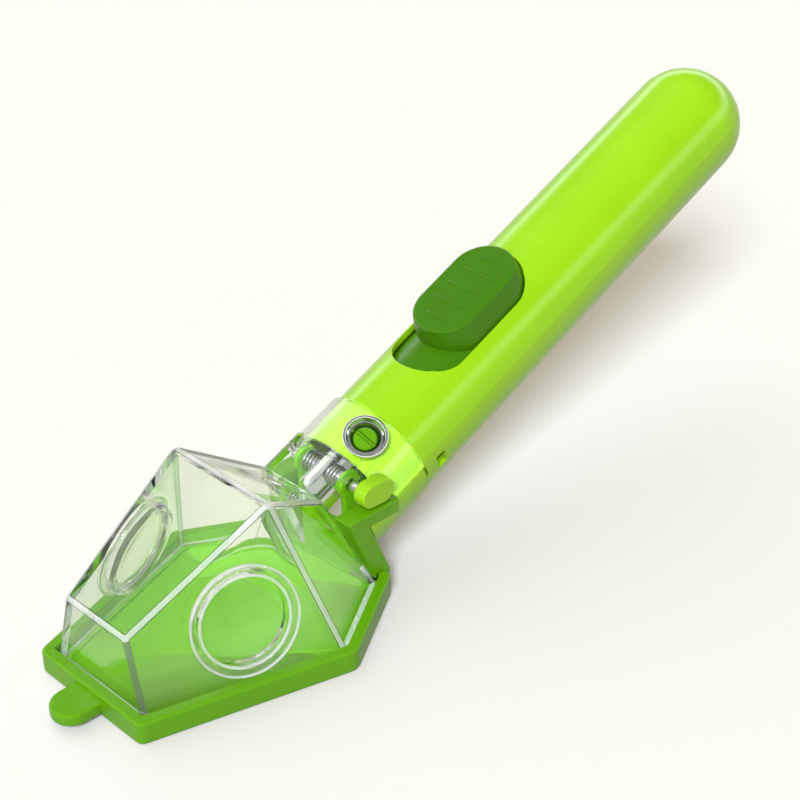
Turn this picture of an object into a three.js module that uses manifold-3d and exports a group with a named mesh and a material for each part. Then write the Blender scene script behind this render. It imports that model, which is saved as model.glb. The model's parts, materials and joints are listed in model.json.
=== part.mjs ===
// Hand-held bug catcher: a clear faceted chamber over a hinged tray, on a round grip with a thumb slide.
//
// Millimetres, +Z up. The tray lies flat on z = 0 with its tab towards -Y. The grip rises towards +Y.
// "Station" is a distance along the grip's axis and "height" a distance square to it, both from the
// grip's own origin. A solid of the grip is modelled with its axis along Y and its top towards Z.

import * as THREE from 'three';
import { mergeVertices } from 'three/addons/utils/BufferGeometryUtils.js';
import { ConvexGeometry } from 'three/addons/geometries/ConvexGeometry.js';
import Module from 'manifold-3d';

const wasm = await Module();
wasm.setup();

// Fits
const restGap = 0.3;
const runningGap = 0.3;
const rodGap = 0.35;

// Grip
const gripTilt = THREE.MathUtils.degToRad(23.3);
const gripOriginY = -20;
const gripOriginZ = 21.3;
const gripRadius = 12.5;
const gripWall = 1.25;
const gripEnd = 118.6;
const upperFront = -7.8;
const lowerFront = -13.7;
const seamHeight = 1.5;
const gripSegments = 40;

// Farther than any piece reaches, for cuts that go right through
const beyond = 200;

// How far a shorter cut or a joined body reaches past the face it meets
const past = 1;

// Saddle of the cover over the grip's front end
const saddleRear = 2.7;
const saddleFront = -9.8;
const saddleWall = 1.1;
const seatStep = 0.6;
const seatRadius = gripRadius - seatStep;
const seatWall = 1.3;
const bandRadius = gripRadius + 0.3;

// Thumb slide
const slotHalfWidth = 8.1;
const slotFront = 15;
const slotRear = 48.8;
const slideTravel = 6.8;
const buttonClearance = 0.4;
const buttonTop = gripRadius + 2.8;
const buttonBevel = 0.8;
const buttonDraft = 0.7;
const ridgeCount = 5;
const ridgePitch = 4.3;
const ridgeWidth = 0.7;
const ridgeHeight = 0.35;
const carriageWall = 1.2;
const carriageEdgeHeight = 5.2;
const carriageOverlap = 1.2;
const slideScrewStation = 38;
const crownRadius = 60;
const crownSegments = 160;
const ridgeHalfLength = 4.3;
const shortRidgeHalfLength = 2.6;
const railInner = 8.4;
const railPast = 1;
const boreRoof = 1;

// Hinge
const hingeStation = -10.5;
const hingeDrop = 5.2;
const pinRadius = 1.2;
const pinChamfer = 0.3;
const pinProud = 0.9;
const earRadius = 2.5;
const earThickness = 3;
const earOuter = gripRadius + 0.5;
const earInner = earOuter - earThickness;
const earRearStation = -7.6;
const earRearDrop = 1.4;
const earRearRadius = 2.6;
const earFloor = 1.2;
const openAngle = THREE.MathUtils.degToRad(28);

// Drive rod and its cam slot
const rodHalfThickness = 0.7;
const rodTopGap = 0.5;
const rodFront = -16;
const rodRear = 33;
const rodWall = 1.3;
const rodShankBottom = 3.5;
const rodShankStation = 6.5;
const rodChamfer = 1;
const hookFront = 26;
const hookRear = 30;
const hookDepth = 3;
const hookHalfWidth = 2.5;
const camPinRadius = 0.9;
const camPinBehind = 4;
const camPinBelow = 4.6;
const camSteps = 12;

// Guide of the drive rod, in the lower shell
const guideFront = 10;
const guideRear = 13;
const guideHalfWidth = 2.6;
const guideTop = 6.5;

// Chamber, by its outer corners on the right-hand side
const coverWall = 1.6;
const ridgeHalfWidth = 13.5;
const ridgeY = -58.8;
const ridgeZ = 35.4;
const frontTopY = -89.2;
const frontTopZ = 19;
const frontBaseHalfWidth = 12.9;
const frontBaseY = -89.6;
const sideBaseHalfWidth = 24.6;
const sideBaseY = -51;
const baseZ = 3;
const neckHalfWidth = 8.5;
const neckDrop = 0.6;
const neckRounding = 14;
const rearWallStation = -18.3;
const neckSkirt = 0;

// Windows in the chamber's two sides
const windowY = -68.1;
const windowZ = 15.5;
const windowRingRadius = 10.9;
const windowHoleRadius = 9.7;
const windowRingProud = 0.9;
const windowRingWall = 0.9;
const barrelPast = 1;
const lensCentre = 3.2;
const lensEdge = 1.3;
const lensSegments = 32;

// Tray
const rimGap = 0.4;
const rimWidth = 2.2;
const rimHeight = 4.9;
const trayCorner = 1.4;
const trayBevel = 0.5;
const seatCorner = 0.3;
const tabReach = 7.8;
const tabHalfWidth = 4.1;
const tabTop = 3.8;
const tabBottom = 1.2;
const rearRimHeight = 3.1;
const rearStepDepth = 4;
const armThickness = 1.2;
const armHalfWidth = 1.6;
const knuckleRadius = 2.8;
const gateHeight = 12;
const armEdge = 0.7;
const trayLedge = 2;
const floorTop = 2;

// Room in the lower shell for the arms, and its snap notches, each from, to and top height
const armSlotRear = -5.5;
const snapNotches = [[2.4, 3.2, 0.9], [6.2, 8.6, -0.2]];
const snapHeight = 3.6;
const snapDepth = 1.6;

// Yoke, the fixed bracket between the chamber's rear wall and the grip's mouth
const yokeProud = 0.7;
const yokeFlangeTop = 19.8;
const yokeFlangeThickness = 2.8;
const yokeFlangeRear = -25.5;
const yokeFlangeFront = -35.6;
const yokeFoot = 3.7;
const flangeRoomAhead = 3;
const yokeTongueWall = 1.1;
const yokeTongueRear = 2;
const yokeTongueHalfOpening = 7.3;
const yokeBridgeStation = -4.5;
const yokeBridgeHeight = -4.5;
const yokeBridgeSize = 3;

// Return springs
const wireRadius = 0.2;
const wholeCurls = 4;
const curlSteps = 8;
const springRadius = 2;
const springSideGap = 0.35;
const frontLeg = 5.5;
const rearLegPast = 1.2;

// Screw of the saddle's right-hand side, in its cup washer
const studAngle = THREE.MathUtils.degToRad(26);
const studStation = -2.8;
const studRadius = 2.6;
const studDepth = 2.2;
const cupBore = 2.85;
const cupWall = 0.35;
const cupRadius = 4.5;
const cupFlange = 0.9;
const lipSteps = 6;
const padRadius = 4.4;
const padProud = 0.2;
const coverHeadRadius = 2.5;
const coverHeadHeight = 1;
const driveSlot = 0.7;
const driveDepth = 0.5;

// Screws of the grip
const screwStations = [68, 98];
const screwHeadRadius = 2.3;
const screwHeadHeight = 1.4;
const screwShankRadius = 1;
const screwBossRadius = 2.7;
const screwHeadDepth = 0.5;
const screwReach = 7;
const screwEdge = 0.3;

// Derived values
const neckTop = gripRadius - neckDrop;
const hingeHeight = neckTop - hingeDrop;
const earRearHeight = hingeHeight - earRearDrop;
const yokeOuter = gripRadius + yokeProud;
const seatInner = seatRadius - seatWall;
const studBottom = seatInner - studDepth;
const innerRadius = gripRadius - gripWall;
const saddleInner = seatRadius + restGap;
const saddleOuter = saddleInner + saddleWall;
const lowerTop = seamHeight - restGap;
const carriageOuter = innerRadius - rodGap;
const carriageInner = carriageOuter - carriageWall;
const rodTop = carriageInner - rodTopGap;
const carriageFront = slotFront - carriageOverlap;
const carriageRear = slotRear + slideTravel + carriageOverlap;
const buttonHalfWidth = slotHalfWidth - buttonClearance;
const buttonRear = slotRear - buttonClearance;
const buttonFront = slotFront + buttonClearance + slideTravel;
const neckInner = neckHalfWidth - coverWall;
const armOuter = neckInner - runningGap;
const armInner = armOuter - armThickness;
const cheekInner = neckHalfWidth + rodGap;
const pinHoleRadius = pinRadius + runningGap;
const pinLeft = neckHalfWidth + pinProud;
const pinRight = earOuter - earFloor - restGap;
const shankHoleRadius = screwShankRadius + restGap;
const padTop = saddleOuter + padProud;
const cupBottom = seatRadius + restGap;
const webFront = rearWallStation + restGap;
const webRear = lowerFront - restGap;
const armSlotHalfWidth = armOuter + 2 * runningGap;
const springStart = rodHalfThickness + springSideGap + wireRadius;
const springEnd = armInner - springSideGap - wireRadius;

const gripMatrix = new THREE.Matrix4().makeRotationX(gripTilt).setPosition(0, gripOriginY, gripOriginZ);
const gripInverse = gripMatrix.clone().invert();

/** A point of the grip, given by its side offset, station and height, in the part's frame. */
function onGrip(x, station, height) {
  return new THREE.Vector3(x, station, height).applyMatrix4(gripMatrix);
}

/** Turns a closed geometry into a solid, with its shared vertices merged. */
function solid(geometry) {
  const bare = geometry.clone();
  bare.deleteAttribute('normal');
  bare.deleteAttribute('uv');
  const merged = mergeVertices(bare, 1e-4);
  const corners = merged.index.array;
  const kept = [];
  for (let i = 0; i < corners.length; i += 3) {
    const [a, b, c] = [corners[i], corners[i + 1], corners[i + 2]];
    if (a !== b && b !== c && c !== a) kept.push(a, b, c);
  }
  const vertProperties = new Float32Array(merged.attributes.position.array);
  return new wasm.Manifold(new wasm.Mesh({ numProp: 3, vertProperties, triVerts: new Uint32Array(kept) }));
}

/** Turns a solid back into a geometry. */
function geometryOf(body) {
  const { vertProperties, triVerts } = body.getMesh();
  const geometry = new THREE.BufferGeometry();
  geometry.setAttribute('position', new THREE.BufferAttribute(new Float32Array(vertProperties), 3));
  geometry.setIndex(new THREE.BufferAttribute(new Uint32Array(triVerts), 1));
  geometry.computeVertexNormals();
  return geometry;
}

/** Joins the first solid with the others. */
function join(first, ...others) {
  return others.reduce((whole, next) => whole.add(next), first);
}

/** Cuts the others out of the first solid. */
function cut(first, ...others) {
  return others.reduce((whole, next) => whole.subtract(next), first);
}

/** A block between two corners. */
function block(x0, x1, y0, y1, z0, z1) {
  const box = new THREE.BoxGeometry(x1 - x0, y1 - y0, z1 - z0);
  box.translate((x0 + x1) / 2, (y0 + y1) / 2, (z0 + z1) / 2);
  return box;
}

/** A rod along X. */
function rodX(radius, x0, x1, y, z, segments = 24) {
  const rod = new THREE.CylinderGeometry(radius, radius, x1 - x0, segments);
  rod.rotateZ(Math.PI / 2);
  rod.translate((x0 + x1) / 2, y, z);
  return rod;
}

/** A rod along Z. */
function rodZ(radius, z0, z1, x, y, segments = 24) {
  const rod = new THREE.CylinderGeometry(radius, radius, z1 - z0, segments);
  rod.rotateX(Math.PI / 2);
  rod.translate(x, y, (z0 + z1) / 2);
  return rod;
}

/** A ring or disc turned about Y from its [radius, y] profile. */
function turned(profile, segments) {
  return new THREE.LatheGeometry(profile.map(([radius, y]) => new THREE.Vector2(radius, y)), segments);
}

/** A rod along Y. */
function rodY(radius, y0, y1, segments = gripSegments) {
  return turned([[0, y0], [radius, y0], [radius, y1], [0, y1]], segments);
}

/** A tube about Y. */
function tubeY(outer, inner, y0, y1, segments = gripSegments) {
  return turned([[inner, y0], [outer, y0], [outer, y1], [inner, y1], [inner, y0]], segments);
}

/** A plate with its outline in the YZ plane, between two X values. */
function sidePlate(shape, x0, x1, curveSegments = 8) {
  const plate = new THREE.ExtrudeGeometry(shape, { depth: x1 - x0, bevelEnabled: false, curveSegments });
  const basis = new THREE.Matrix4().makeBasis(
    new THREE.Vector3(0, 1, 0),
    new THREE.Vector3(0, 0, 1),
    new THREE.Vector3(1, 0, 0),
  );
  plate.applyMatrix4(basis);
  plate.translate(x0, 0, 0);
  return plate;
}

/** The same solid on the other side of the part. */
function mirrored(body) {
  return body.mirror([1, 0, 0]);
}

/** A solid of the grip, moved to the part's frame. */
function gripSolid(geometry) {
  return solid(geometry.clone().applyMatrix4(gripMatrix));
}

/** A solid of the part's frame, moved to the grip's. */
function worldInGrip(geometry) {
  return solid(geometry.clone().applyMatrix4(gripInverse));
}

/** A slot outline with round ends along Y. */
function obround(halfWidth, front, rear) {
  const shape = new THREE.Shape();
  shape.absarc(0, front + halfWidth, halfWidth, Math.PI, 2 * Math.PI, false);
  shape.absarc(0, rear - halfWidth, halfWidth, 0, Math.PI, false);
  shape.closePath();
  return shape;
}

/** An outline in the XY plane, raised from z0 to z1. */
function raised(shape, z0, z1, bevel = 0, curveSegments = 12) {
  const options = {
    depth: z1 - z0 - 2 * bevel,
    bevelEnabled: bevel > 0,
    bevelThickness: bevel,
    bevelSize: bevel,
    bevelOffset: -bevel,
    bevelSegments: 2,
    curveSegments,
  };
  const body = new THREE.ExtrudeGeometry(shape, options);
  body.translate(0, 0, z0 + bevel);
  return body;
}

/** The plane through three points, with its normal away from a point inside. */
function facing(a, b, c, inside) {
  const plane = new THREE.Plane().setFromCoplanarPoints(a, b, c);
  return plane.distanceToPoint(inside) > 0 ? plane.negate() : plane;
}

/** The convex body inside a list of planes, each drawn in by an inset. */
function insidePlanes(planes, inset) {
  const sides = planes.map((plane) => {
    const moved = plane.clone();
    moved.constant += plane.open ? 0 : inset;
    return moved;
  });
  const corners = [];
  for (let i = 0; i < sides.length; i++) {
    for (let j = i + 1; j < sides.length; j++) {
      for (let k = j + 1; k < sides.length; k++) {
        const rows = [sides[i], sides[j], sides[k]];
        const system = new THREE.Matrix3();
        system.set(...rows.flatMap((row) => row.normal.toArray()));
        if (Math.abs(system.determinant()) < 1e-6) continue;
        const target = new THREE.Vector3(...rows.map((row) => -row.constant));
        const corner = target.applyMatrix3(system.invert());
        if (sides.every((side) => side.distanceToPoint(corner) < 1e-4)) corners.push(corner);
      }
    }
  }
  return new ConvexGeometry(corners);
}

/** A convex outline, widened on every side by one distance. */
function widened(points, distance) {
  const edges = points.map((point, i) => {
    const next = points[(i + 1) % points.length];
    const along = next.clone().sub(point).normalize();
    const out = new THREE.Vector2(along.y, -along.x);
    return { from: point.clone().addScaledVector(out, distance), along };
  });
  return edges.map((edge, i) => {
    const before = edges[(i + edges.length - 1) % edges.length];
    const gap = edge.from.clone().sub(before.from);
    const t = gap.cross(edge.along) / before.along.cross(edge.along);
    return before.from.clone().addScaledVector(before.along, t);
  });
}

/** An outline with each corner rounded. */
function rounded(points, radius) {
  const shape = new THREE.Shape();
  points.forEach((corner, i) => {
    const before = points[(i + points.length - 1) % points.length];
    const after = points[(i + 1) % points.length];
    const enter = corner.clone().add(before.clone().sub(corner).setLength(radius));
    const leave = corner.clone().add(after.clone().sub(corner).setLength(radius));
    if (i === 0) shape.moveTo(enter.x, enter.y);
    else shape.lineTo(enter.x, enter.y);
    shape.quadraticCurveTo(corner.x, corner.y, leave.x, leave.y);
  });
  shape.closePath();
  return shape;
}

const colours = {
  lime: 0xb4f03a,
  green: 0x4f9a2c,
  deepGreen: 0x3f7f14,
  white: 0xf2f3ee,
  clear: 0xeef4f0,
  steel: 0xc4c7ca,
};

/** The finish of a moulding or metal piece. */
function finish(color, roughness, metalness = 0, opacity = 1) {
  const transparent = opacity < 1;
  return new THREE.MeshStandardMaterial({ color, roughness, metalness, opacity, transparent });
}

const finishes = {
  lime: () => finish(colours.lime, 0.22),
  green: () => finish(colours.green, 0.3),
  deepGreen: () => finish(colours.deepGreen, 0.35),
  white: () => finish(colours.white, 0.4),
  clear: () => finish(colours.clear, 0.04, 0, 0.3),
  steel: () => finish(colours.steel, 0.25, 1),
};

/** A named piece. */
function piece(name, geometry, material) {
  const mesh = new THREE.Mesh(geometry, material);
  mesh.name = name;
  return mesh;
}

// Chamber planes

const ridge = new THREE.Vector3(ridgeHalfWidth, ridgeY, ridgeZ);
const frontTop = new THREE.Vector3(frontBaseHalfWidth, frontTopY, frontTopZ);
const frontBase = new THREE.Vector3(frontBaseHalfWidth, frontBaseY, baseZ);
const sideBase = new THREE.Vector3(sideBaseHalfWidth, sideBaseY, baseZ);
const inside = new THREE.Vector3(0, (frontBaseY + sideBaseY) / 2, (baseZ + frontTopZ) / 2);
const mirror = (point) => new THREE.Vector3(-point.x, point.y, point.z);
const neckCorner = onGrip(neckHalfWidth, rearWallStation, neckTop);

/** The chamber's outer planes. The base and the open ones are marked, because they take no wall. */
function chamberPlanes() {
  const both = (a, b, c) => [facing(a, b, c, inside), facing(mirror(a), mirror(b), mirror(c), inside)];
  const base = new THREE.Plane(new THREE.Vector3(0, 0, -1), baseZ);
  base.open = true;
  return [
    base,
    facing(frontTop, mirror(frontTop), frontBase, inside),
    facing(frontTop, mirror(frontTop), ridge, inside),
    facing(neckCorner, mirror(neckCorner), ridge, inside),
    facing(neckCorner, mirror(neckCorner), onGrip(0, rearWallStation, 0), inside),
    ...both(frontBase, sideBase, ridge),
    ...both(sideBase, ridge, neckCorner),
  ];
}

const chamber = chamberPlanes();
const sidePlane = chamber[5];
const rearSidePlane = chamber[7];

/** Where two of the chamber's side planes and its base meet. */
function baseCorner(first, second) {
  const rows = [chamber[0], first, second];
  const system = new THREE.Matrix3();
  system.set(...rows.flatMap((row) => row.normal.toArray()));
  return new THREE.Vector3(...rows.map((row) => -row.constant)).applyMatrix3(system.invert());
}

const rightCorners = [
  baseCorner(chamber[1], sidePlane),
  baseCorner(sidePlane, rearSidePlane),
  baseCorner(rearSidePlane, chamber[4]),
];
const baseOutline = [
  ...rightCorners.map((corner) => new THREE.Vector2(corner.x, corner.y)),
  ...rightCorners.reverse().map((corner) => new THREE.Vector2(-corner.x, corner.y)),
];

const frontRimY = rightCorners[2].y - rimGap - rimWidth;
const rearStepY = rightCorners[0].y - rearStepDepth;

// Windows

const windowCentre = new THREE.Vector3(0, windowY, windowZ);
windowCentre.x = -sidePlane.distanceToPoint(windowCentre) / sidePlane.normal.x;

/** Moves a body turned about Y onto a window's axis, its origin on the chamber's outer face. */
function atWindow(geometry, side) {
  const normal = sidePlane.normal.clone();
  const centre = windowCentre.clone();
  if (side < 0) {
    normal.x *= -1;
    centre.x *= -1;
  }
  const turn = new THREE.Matrix4().makeRotationFromQuaternion(
    new THREE.Quaternion().setFromUnitVectors(new THREE.Vector3(0, 1, 0), normal),
  );
  return geometry.clone().applyMatrix4(turn).translate(...centre.toArray());
}

/** A window's snap-in ring: a flange outside, and a barrel through the wall that holds the lens. */
function windowRing(side) {
  const barrelOuter = windowHoleRadius - restGap;
  const barrelInner = barrelOuter - windowRingWall;
  const profile = [
    [barrelInner, -coverWall - barrelPast],
    [barrelOuter, -coverWall - barrelPast],
    [barrelOuter, restGap],
    [windowRingRadius, restGap],
    [windowRingRadius, restGap + windowRingProud * 0.6],
    [windowRingRadius - 0.5, restGap + windowRingProud],
    [barrelInner + 0.5, restGap + windowRingProud],
    [barrelInner, restGap + windowRingProud * 0.6],
    [barrelInner, -coverWall - barrelPast],
  ];
  return geometryOf(solid(atWindow(turned(profile, lensSegments), side)));
}

/** A window's magnifying lens, domed on both faces. */
function lens(side) {
  const radius = windowHoleRadius - windowRingWall - 2 * restGap;
  const bulge = (lensCentre - lensEdge) / 2;
  const middle = -coverWall / 2;
  const steps = 4;
  const profile = [];
  for (let i = 0; i <= steps; i++) {
    const r = (radius * i) / steps;
    profile.push([r, middle - lensEdge / 2 - bulge * (1 - (r / radius) ** 2)]);
  }
  for (let i = steps; i >= 0; i--) {
    const r = (radius * i) / steps;
    profile.push([r, middle + lensEdge / 2 + bulge * (1 - (r / radius) ** 2)]);
  }
  return geometryOf(solid(atWindow(turned(profile, lensSegments), side)));
}

// Ear of the upper shell, which holds the hinge pin's right-hand end

/** The ear's side outline: two round ends joined by straight sides, grown by a margin. */
function earShape(margin) {
  const front = new THREE.Vector2(hingeStation, hingeHeight);
  const rear = new THREE.Vector2(earRearStation, earRearHeight);
  const along = rear.clone().sub(front);
  const lean = Math.atan2(along.y, along.x);
  const spread = Math.acos((earRadius - earRearRadius) / along.length());
  const shape = new THREE.Shape();
  shape.absarc(front.x, front.y, earRadius + margin, lean + spread, lean + 2 * Math.PI - spread, false);
  shape.absarc(rear.x, rear.y, earRearRadius + margin, lean - spread, lean + spread, false);
  shape.closePath();
  return shape;
}

/** Room for the ear, cut out of what lies round it. */
function earRoom(margin) {
  return solid(sidePlate(earShape(margin), earInner - margin, beyond));
}

/** Room ahead of and below the ear, which the saddle leaves open. */
function openCorner() {
  return solid(block(cheekInner - restGap / 2, beyond, -beyond, earRearStation, -beyond, earRearHeight));
}

/** Room for the yoke's two flanges, in the part's frame. */
function flangeRoom() {
  const inner = cheekInner - restGap;
  const front = yokeFlangeFront - flangeRoomAhead;
  const rear = yokeFlangeRear + restGap;
  const bottom = yokeFlangeTop - yokeFlangeThickness - restGap;
  const top = yokeFlangeTop + restGap;
  return [block(inner, beyond, front, rear, bottom, top), block(-beyond, -inner, front, rear, bottom, top)];
}

// Clear cover

/** Moves a body turned about Y onto the stud's axis, its origin on the grip's axis. */
function atStud(geometry) {
  return geometry.clone().rotateX(Math.PI / 2).rotateY(studAngle).translate(0, studStation, 0);
}

/** A solid turned about the stud's axis from its [radius, height] profile. */
function onStud(profile, segments = 24) {
  return solid(atStud(turned(profile, segments)));
}

/** The chamber, its neck and the saddle over the grip, in one clear moulding. */
function clearCover() {
  const shell = cut(solid(insidePlanes(chamber, 0)), solid(insidePlanes(chamber, coverWall)));
  const neckBox = block(
    -neckHalfWidth,
    neckHalfWidth,
    rearWallStation - coverWall / 2,
    saddleFront + coverWall,
    neckSkirt,
    neckTop,
  );
  const neckRound = rodY(neckRounding, rearWallStation - coverWall, saddleRear);
  const neck = gripSolid(neckBox).intersect(gripSolid(neckRound));
  const archFloor = block(-beyond, beyond, -beyond, beyond, seamHeight, beyond);
  const arch = cut(
    join(
      solid(tubeY(saddleOuter, seatInner, saddleFront, upperFront - restGap)),
      solid(tubeY(saddleOuter, saddleInner, saddleFront, saddleRear)),
    ).intersect(solid(archFloor)),
    earRoom(restGap),
    openCorner(),
  );
  const cupHole = cupBore + cupWall + restGap;
  const pad = onStud([[0, saddleInner], [padRadius, saddleInner], [padRadius, padTop], [0, padTop]], 32);
  const bore = onStud([[0, seatInner], [cupHole, seatInner], [cupHole, beyond], [0, beyond]], 32);
  const saddle = cut(join(arch, pad), bore, solid(rodY(saddleInner, upperFront - restGap, beyond)));
  const throatFront = rearWallStation - 2 * coverWall;
  const throat = block(-neckInner, neckInner, throatFront, upperFront, -beyond, neckTop - coverWall);
  const moved = (body) => solid(geometryOf(body).applyMatrix4(gripMatrix));
  const pinHole = rodX(pinHoleRadius, -pinLeft - restGap, beyond, hingeStation, hingeHeight);
  const hole = rodY(windowHoleRadius, -3 * coverWall, coverWall, lensSegments);
  const holes = [1, -1].map((side) => solid(atWindow(hole, side)));
  return cut(
    join(shell, neck, moved(saddle)),
    gripSolid(throat),
    gripSolid(pinHole),
    ...holes,
    ...flangeRoom().map(solid),
  );
}

// Grip

/** The grip's outline turned about its axis: a tube with a domed end. */
function gripBody(radius, front, frontRadius = radius, stepStation = front) {
  const domeCentre = gripEnd - gripRadius;
  const domeSteps = 10;
  const profile = [[0, front], [frontRadius, front]];
  if (stepStation > front) profile.push([frontRadius, stepStation], [radius, stepStation]);
  for (let i = 0; i <= domeSteps; i++) {
    const angle = (Math.PI / 2) * (i / domeSteps);
    profile.push([radius * Math.cos(angle), domeCentre + radius * Math.sin(angle)]);
  }
  profile[profile.length - 1][0] = 0;
  return turned(profile, gripSegments);
}

/** The hollow inside the grip. */
function gripHollow(frontRadius, stepStation) {
  return solid(gripBody(innerRadius, -beyond, frontRadius, stepStation));
}

/** The upper half of the grip, with the slide's slot and rails, the ear, the stud and the screw bosses. */
function upperShell() {
  const halfSpace = solid(block(-beyond, beyond, -beyond, beyond, seamHeight, beyond));
  const wall = cut(
    solid(gripBody(gripRadius, upperFront, seatRadius, saddleRear + restGap)),
    gripHollow(seatInner, saddleRear + gripWall),
  );
  const slot = solid(raised(obround(slotHalfWidth, slotFront, slotRear), carriageEdgeHeight, beyond));
  const ear = solid(sidePlate(earShape(0), earInner, earOuter));
  const railTop = carriageEdgeHeight - restGap;
  const railFront = carriageFront - slideTravel;
  const railRear = carriageRear + railPast;
  const rail = solid(block(railInner, innerRadius, railFront, railRear, railTop - gripWall, railTop));
  const studTop = (seatInner + seatRadius) / 2;
  const stud = onStud([[0, studBottom], [studRadius, studBottom], [studRadius, studTop], [0, studTop]]);
  const boreFrom = studBottom - past;
  const studBore = onStud([[0, boreFrom], [shankHoleRadius, boreFrom], [shankHoleRadius, beyond], [0, beyond]]);
  const uprights = (radius, bottom, top) =>
    screwStations.map((station) => solid(rodZ(radius, bottom, top, 0, station)));
  const posts = uprights(screwBossRadius, seamHeight, innerRadius + restGap);
  const pilots = uprights(shankHoleRadius, seamHeight - past, screwReach + past);
  const pinBore = solid(rodX(pinHoleRadius, earInner - past, earOuter - earFloor, hingeStation, hingeHeight));
  return cut(
    join(wall.intersect(halfSpace), ear, rail, mirrored(rail), stud, ...posts),
    slot,
    studBore,
    ...pilots,
    pinBore,
    ...flangeRoom().map(worldInGrip),
  );
}

/** The lower half of the grip, with its raised front band, the screw posts and the drive rod's guide. */
function lowerShell() {
  const halfSpace = solid(block(-beyond, beyond, -beyond, beyond, -beyond, lowerTop));
  const wall = cut(
    solid(gripBody(gripRadius, lowerFront, bandRadius, saddleRear - restGap)),
    gripHollow(innerRadius, lowerFront),
  );
  const headSeat = -gripRadius + screwHeadDepth + screwHeadHeight;
  const collarRadius = screwHeadRadius + restGap + gripWall;
  const posts = screwStations.map((station) => join(
    solid(rodZ(screwBossRadius, -innerRadius, lowerTop, 0, station)),
    solid(rodZ(collarRadius, -innerRadius - restGap, headSeat + restGap + gripWall, 0, station)),
  ));
  const bores = screwStations.map((station) => join(
    solid(rodZ(shankHoleRadius, -beyond, beyond, 0, station)),
    solid(rodZ(screwHeadRadius + restGap, -beyond, headSeat + restGap, 0, station)),
  ));
  const guideBottom = -innerRadius - restGap;
  const guide = solid(block(-guideHalfWidth, guideHalfWidth, guideFront, guideRear, guideBottom, guideTop));
  const guideSlot = solid(block(
    -rodHalfThickness - rodGap,
    rodHalfThickness + rodGap,
    guideFront - past,
    guideRear + past,
    rodShankBottom - rodGap,
    beyond,
  ));
  const armSlot = solid(block(-armSlotHalfWidth, armSlotHalfWidth, -beyond, armSlotRear, -beyond, 0));
  const notch = snapNotches.map(([front, rear, top]) => {
    const right = solid(block(gripRadius - snapDepth, beyond, front, rear, top - snapHeight, top));
    return right.add(mirrored(right));
  });
  const openings = [armSlot, earRoom(restGap), ...notch, ...flangeRoom().map(worldInGrip)];
  return cut(join(cut(wall.intersect(halfSpace), ...openings), guide, ...posts), guideSlot, ...bores);
}

// Thumb slide

/** The button in the slot, tapered and crowned, with raised grip ridges and a screw bore from below. */
function thumbButton() {
  const middle = (buttonFront + buttonRear) / 2;
  const base = solid(raised(obround(buttonHalfWidth, buttonFront, buttonRear), carriageEdgeHeight, gripRadius));
  const outline = obround(buttonHalfWidth - buttonDraft, buttonFront + buttonDraft, buttonRear - buttonDraft);
  const top = solid(raised(outline, gripRadius, buttonTop, buttonBevel));
  const blank = wasm.Manifold.hull([base, top]);
  const crown = (extra) => {
    const drum = rodY(crownRadius + extra, buttonFront - past, buttonRear + past, crownSegments);
    return solid(drum.translate(0, 0, buttonTop - crownRadius));
  };
  const ridges = Array.from({ length: ridgeCount }, (_, i) => {
    const along = middle + (i - (ridgeCount - 1) / 2) * ridgePitch;
    const half = i === 0 || i === ridgeCount - 1 ? shortRidgeHalfLength : ridgeHalfLength;
    const [front, rear] = [along - ridgeWidth / 2, along + ridgeWidth / 2];
    return solid(block(-half, half, front, rear, buttonTop - past, buttonTop + past));
  });
  const ribbed = join(ridges[0], ...ridges.slice(1)).intersect(crown(ridgeHeight));
  return cut(
    join(blank.intersect(crown(0)), ribbed),
    solid(rodY(carriageOuter + restGap, 0, beyond)),
    solid(rodZ(shankHoleRadius, 0, buttonTop - boreRoof, 0, slideScrewStation)),
  );
}

/** The curved plate that slides under the slot, with the hook that carries the drive rod. */
function sliderCarriage() {
  const plate = solid(tubeY(carriageOuter, carriageInner, carriageFront, carriageRear));
  const upper = solid(block(-beyond, beyond, -beyond, beyond, carriageEdgeHeight, beyond));
  const tongue = solid(block(
    -hookHalfWidth,
    hookHalfWidth,
    hookFront + restGap,
    hookRear - restGap,
    rodTop - hookDepth + restGap,
    (carriageInner + carriageOuter) / 2,
  ));
  const screwHole = solid(rodZ(shankHoleRadius, 0, beyond, 0, slideScrewStation));
  return cut(join(plate.intersect(upper), tongue), screwHole);
}

/** The place of the cam pin along and above the grip's axis, at an angle of the tray. */
function camPinAt(angle) {
  const cos = Math.cos(angle);
  const sin = Math.sin(angle);
  return new THREE.Vector2(
    hingeStation + camPinBehind * cos + camPinBelow * sin,
    hingeHeight + camPinBehind * sin - camPinBelow * cos,
  );
}

/** The cam slot: the cam pin's path seen from the rod, which moves evenly with the tray's angle. */
function camSlot() {
  const reach = camPinRadius + rodGap;
  const path = Array.from({ length: camSteps + 1 }, (_, i) => {
    const share = i / camSteps;
    return camPinAt(openAngle * share).add(new THREE.Vector2(slideTravel * share, 0));
  });
  const side = (i) => {
    const along = path[Math.min(i + 1, camSteps)].clone().sub(path[Math.max(i - 1, 0)]).normalize();
    return new THREE.Vector2(-along.y, along.x).multiplyScalar(reach);
  };
  const first = side(0).angle();
  const last = side(camSteps).angle();
  const shape = new THREE.Shape();
  path.forEach((point, i) => {
    const edge = point.clone().sub(side(i));
    if (i === 0) shape.moveTo(edge.x, edge.y);
    else shape.lineTo(edge.x, edge.y);
  });
  shape.absarc(path[camSteps].x, path[camSteps].y, reach, last - Math.PI, last, false);
  for (let i = camSteps - 1; i > 0; i--) {
    const edge = path[i].clone().add(side(i));
    shape.lineTo(edge.x, edge.y);
  }
  shape.absarc(path[0].x, path[0].y, reach, first, first + Math.PI, false);
  return shape;
}

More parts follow.
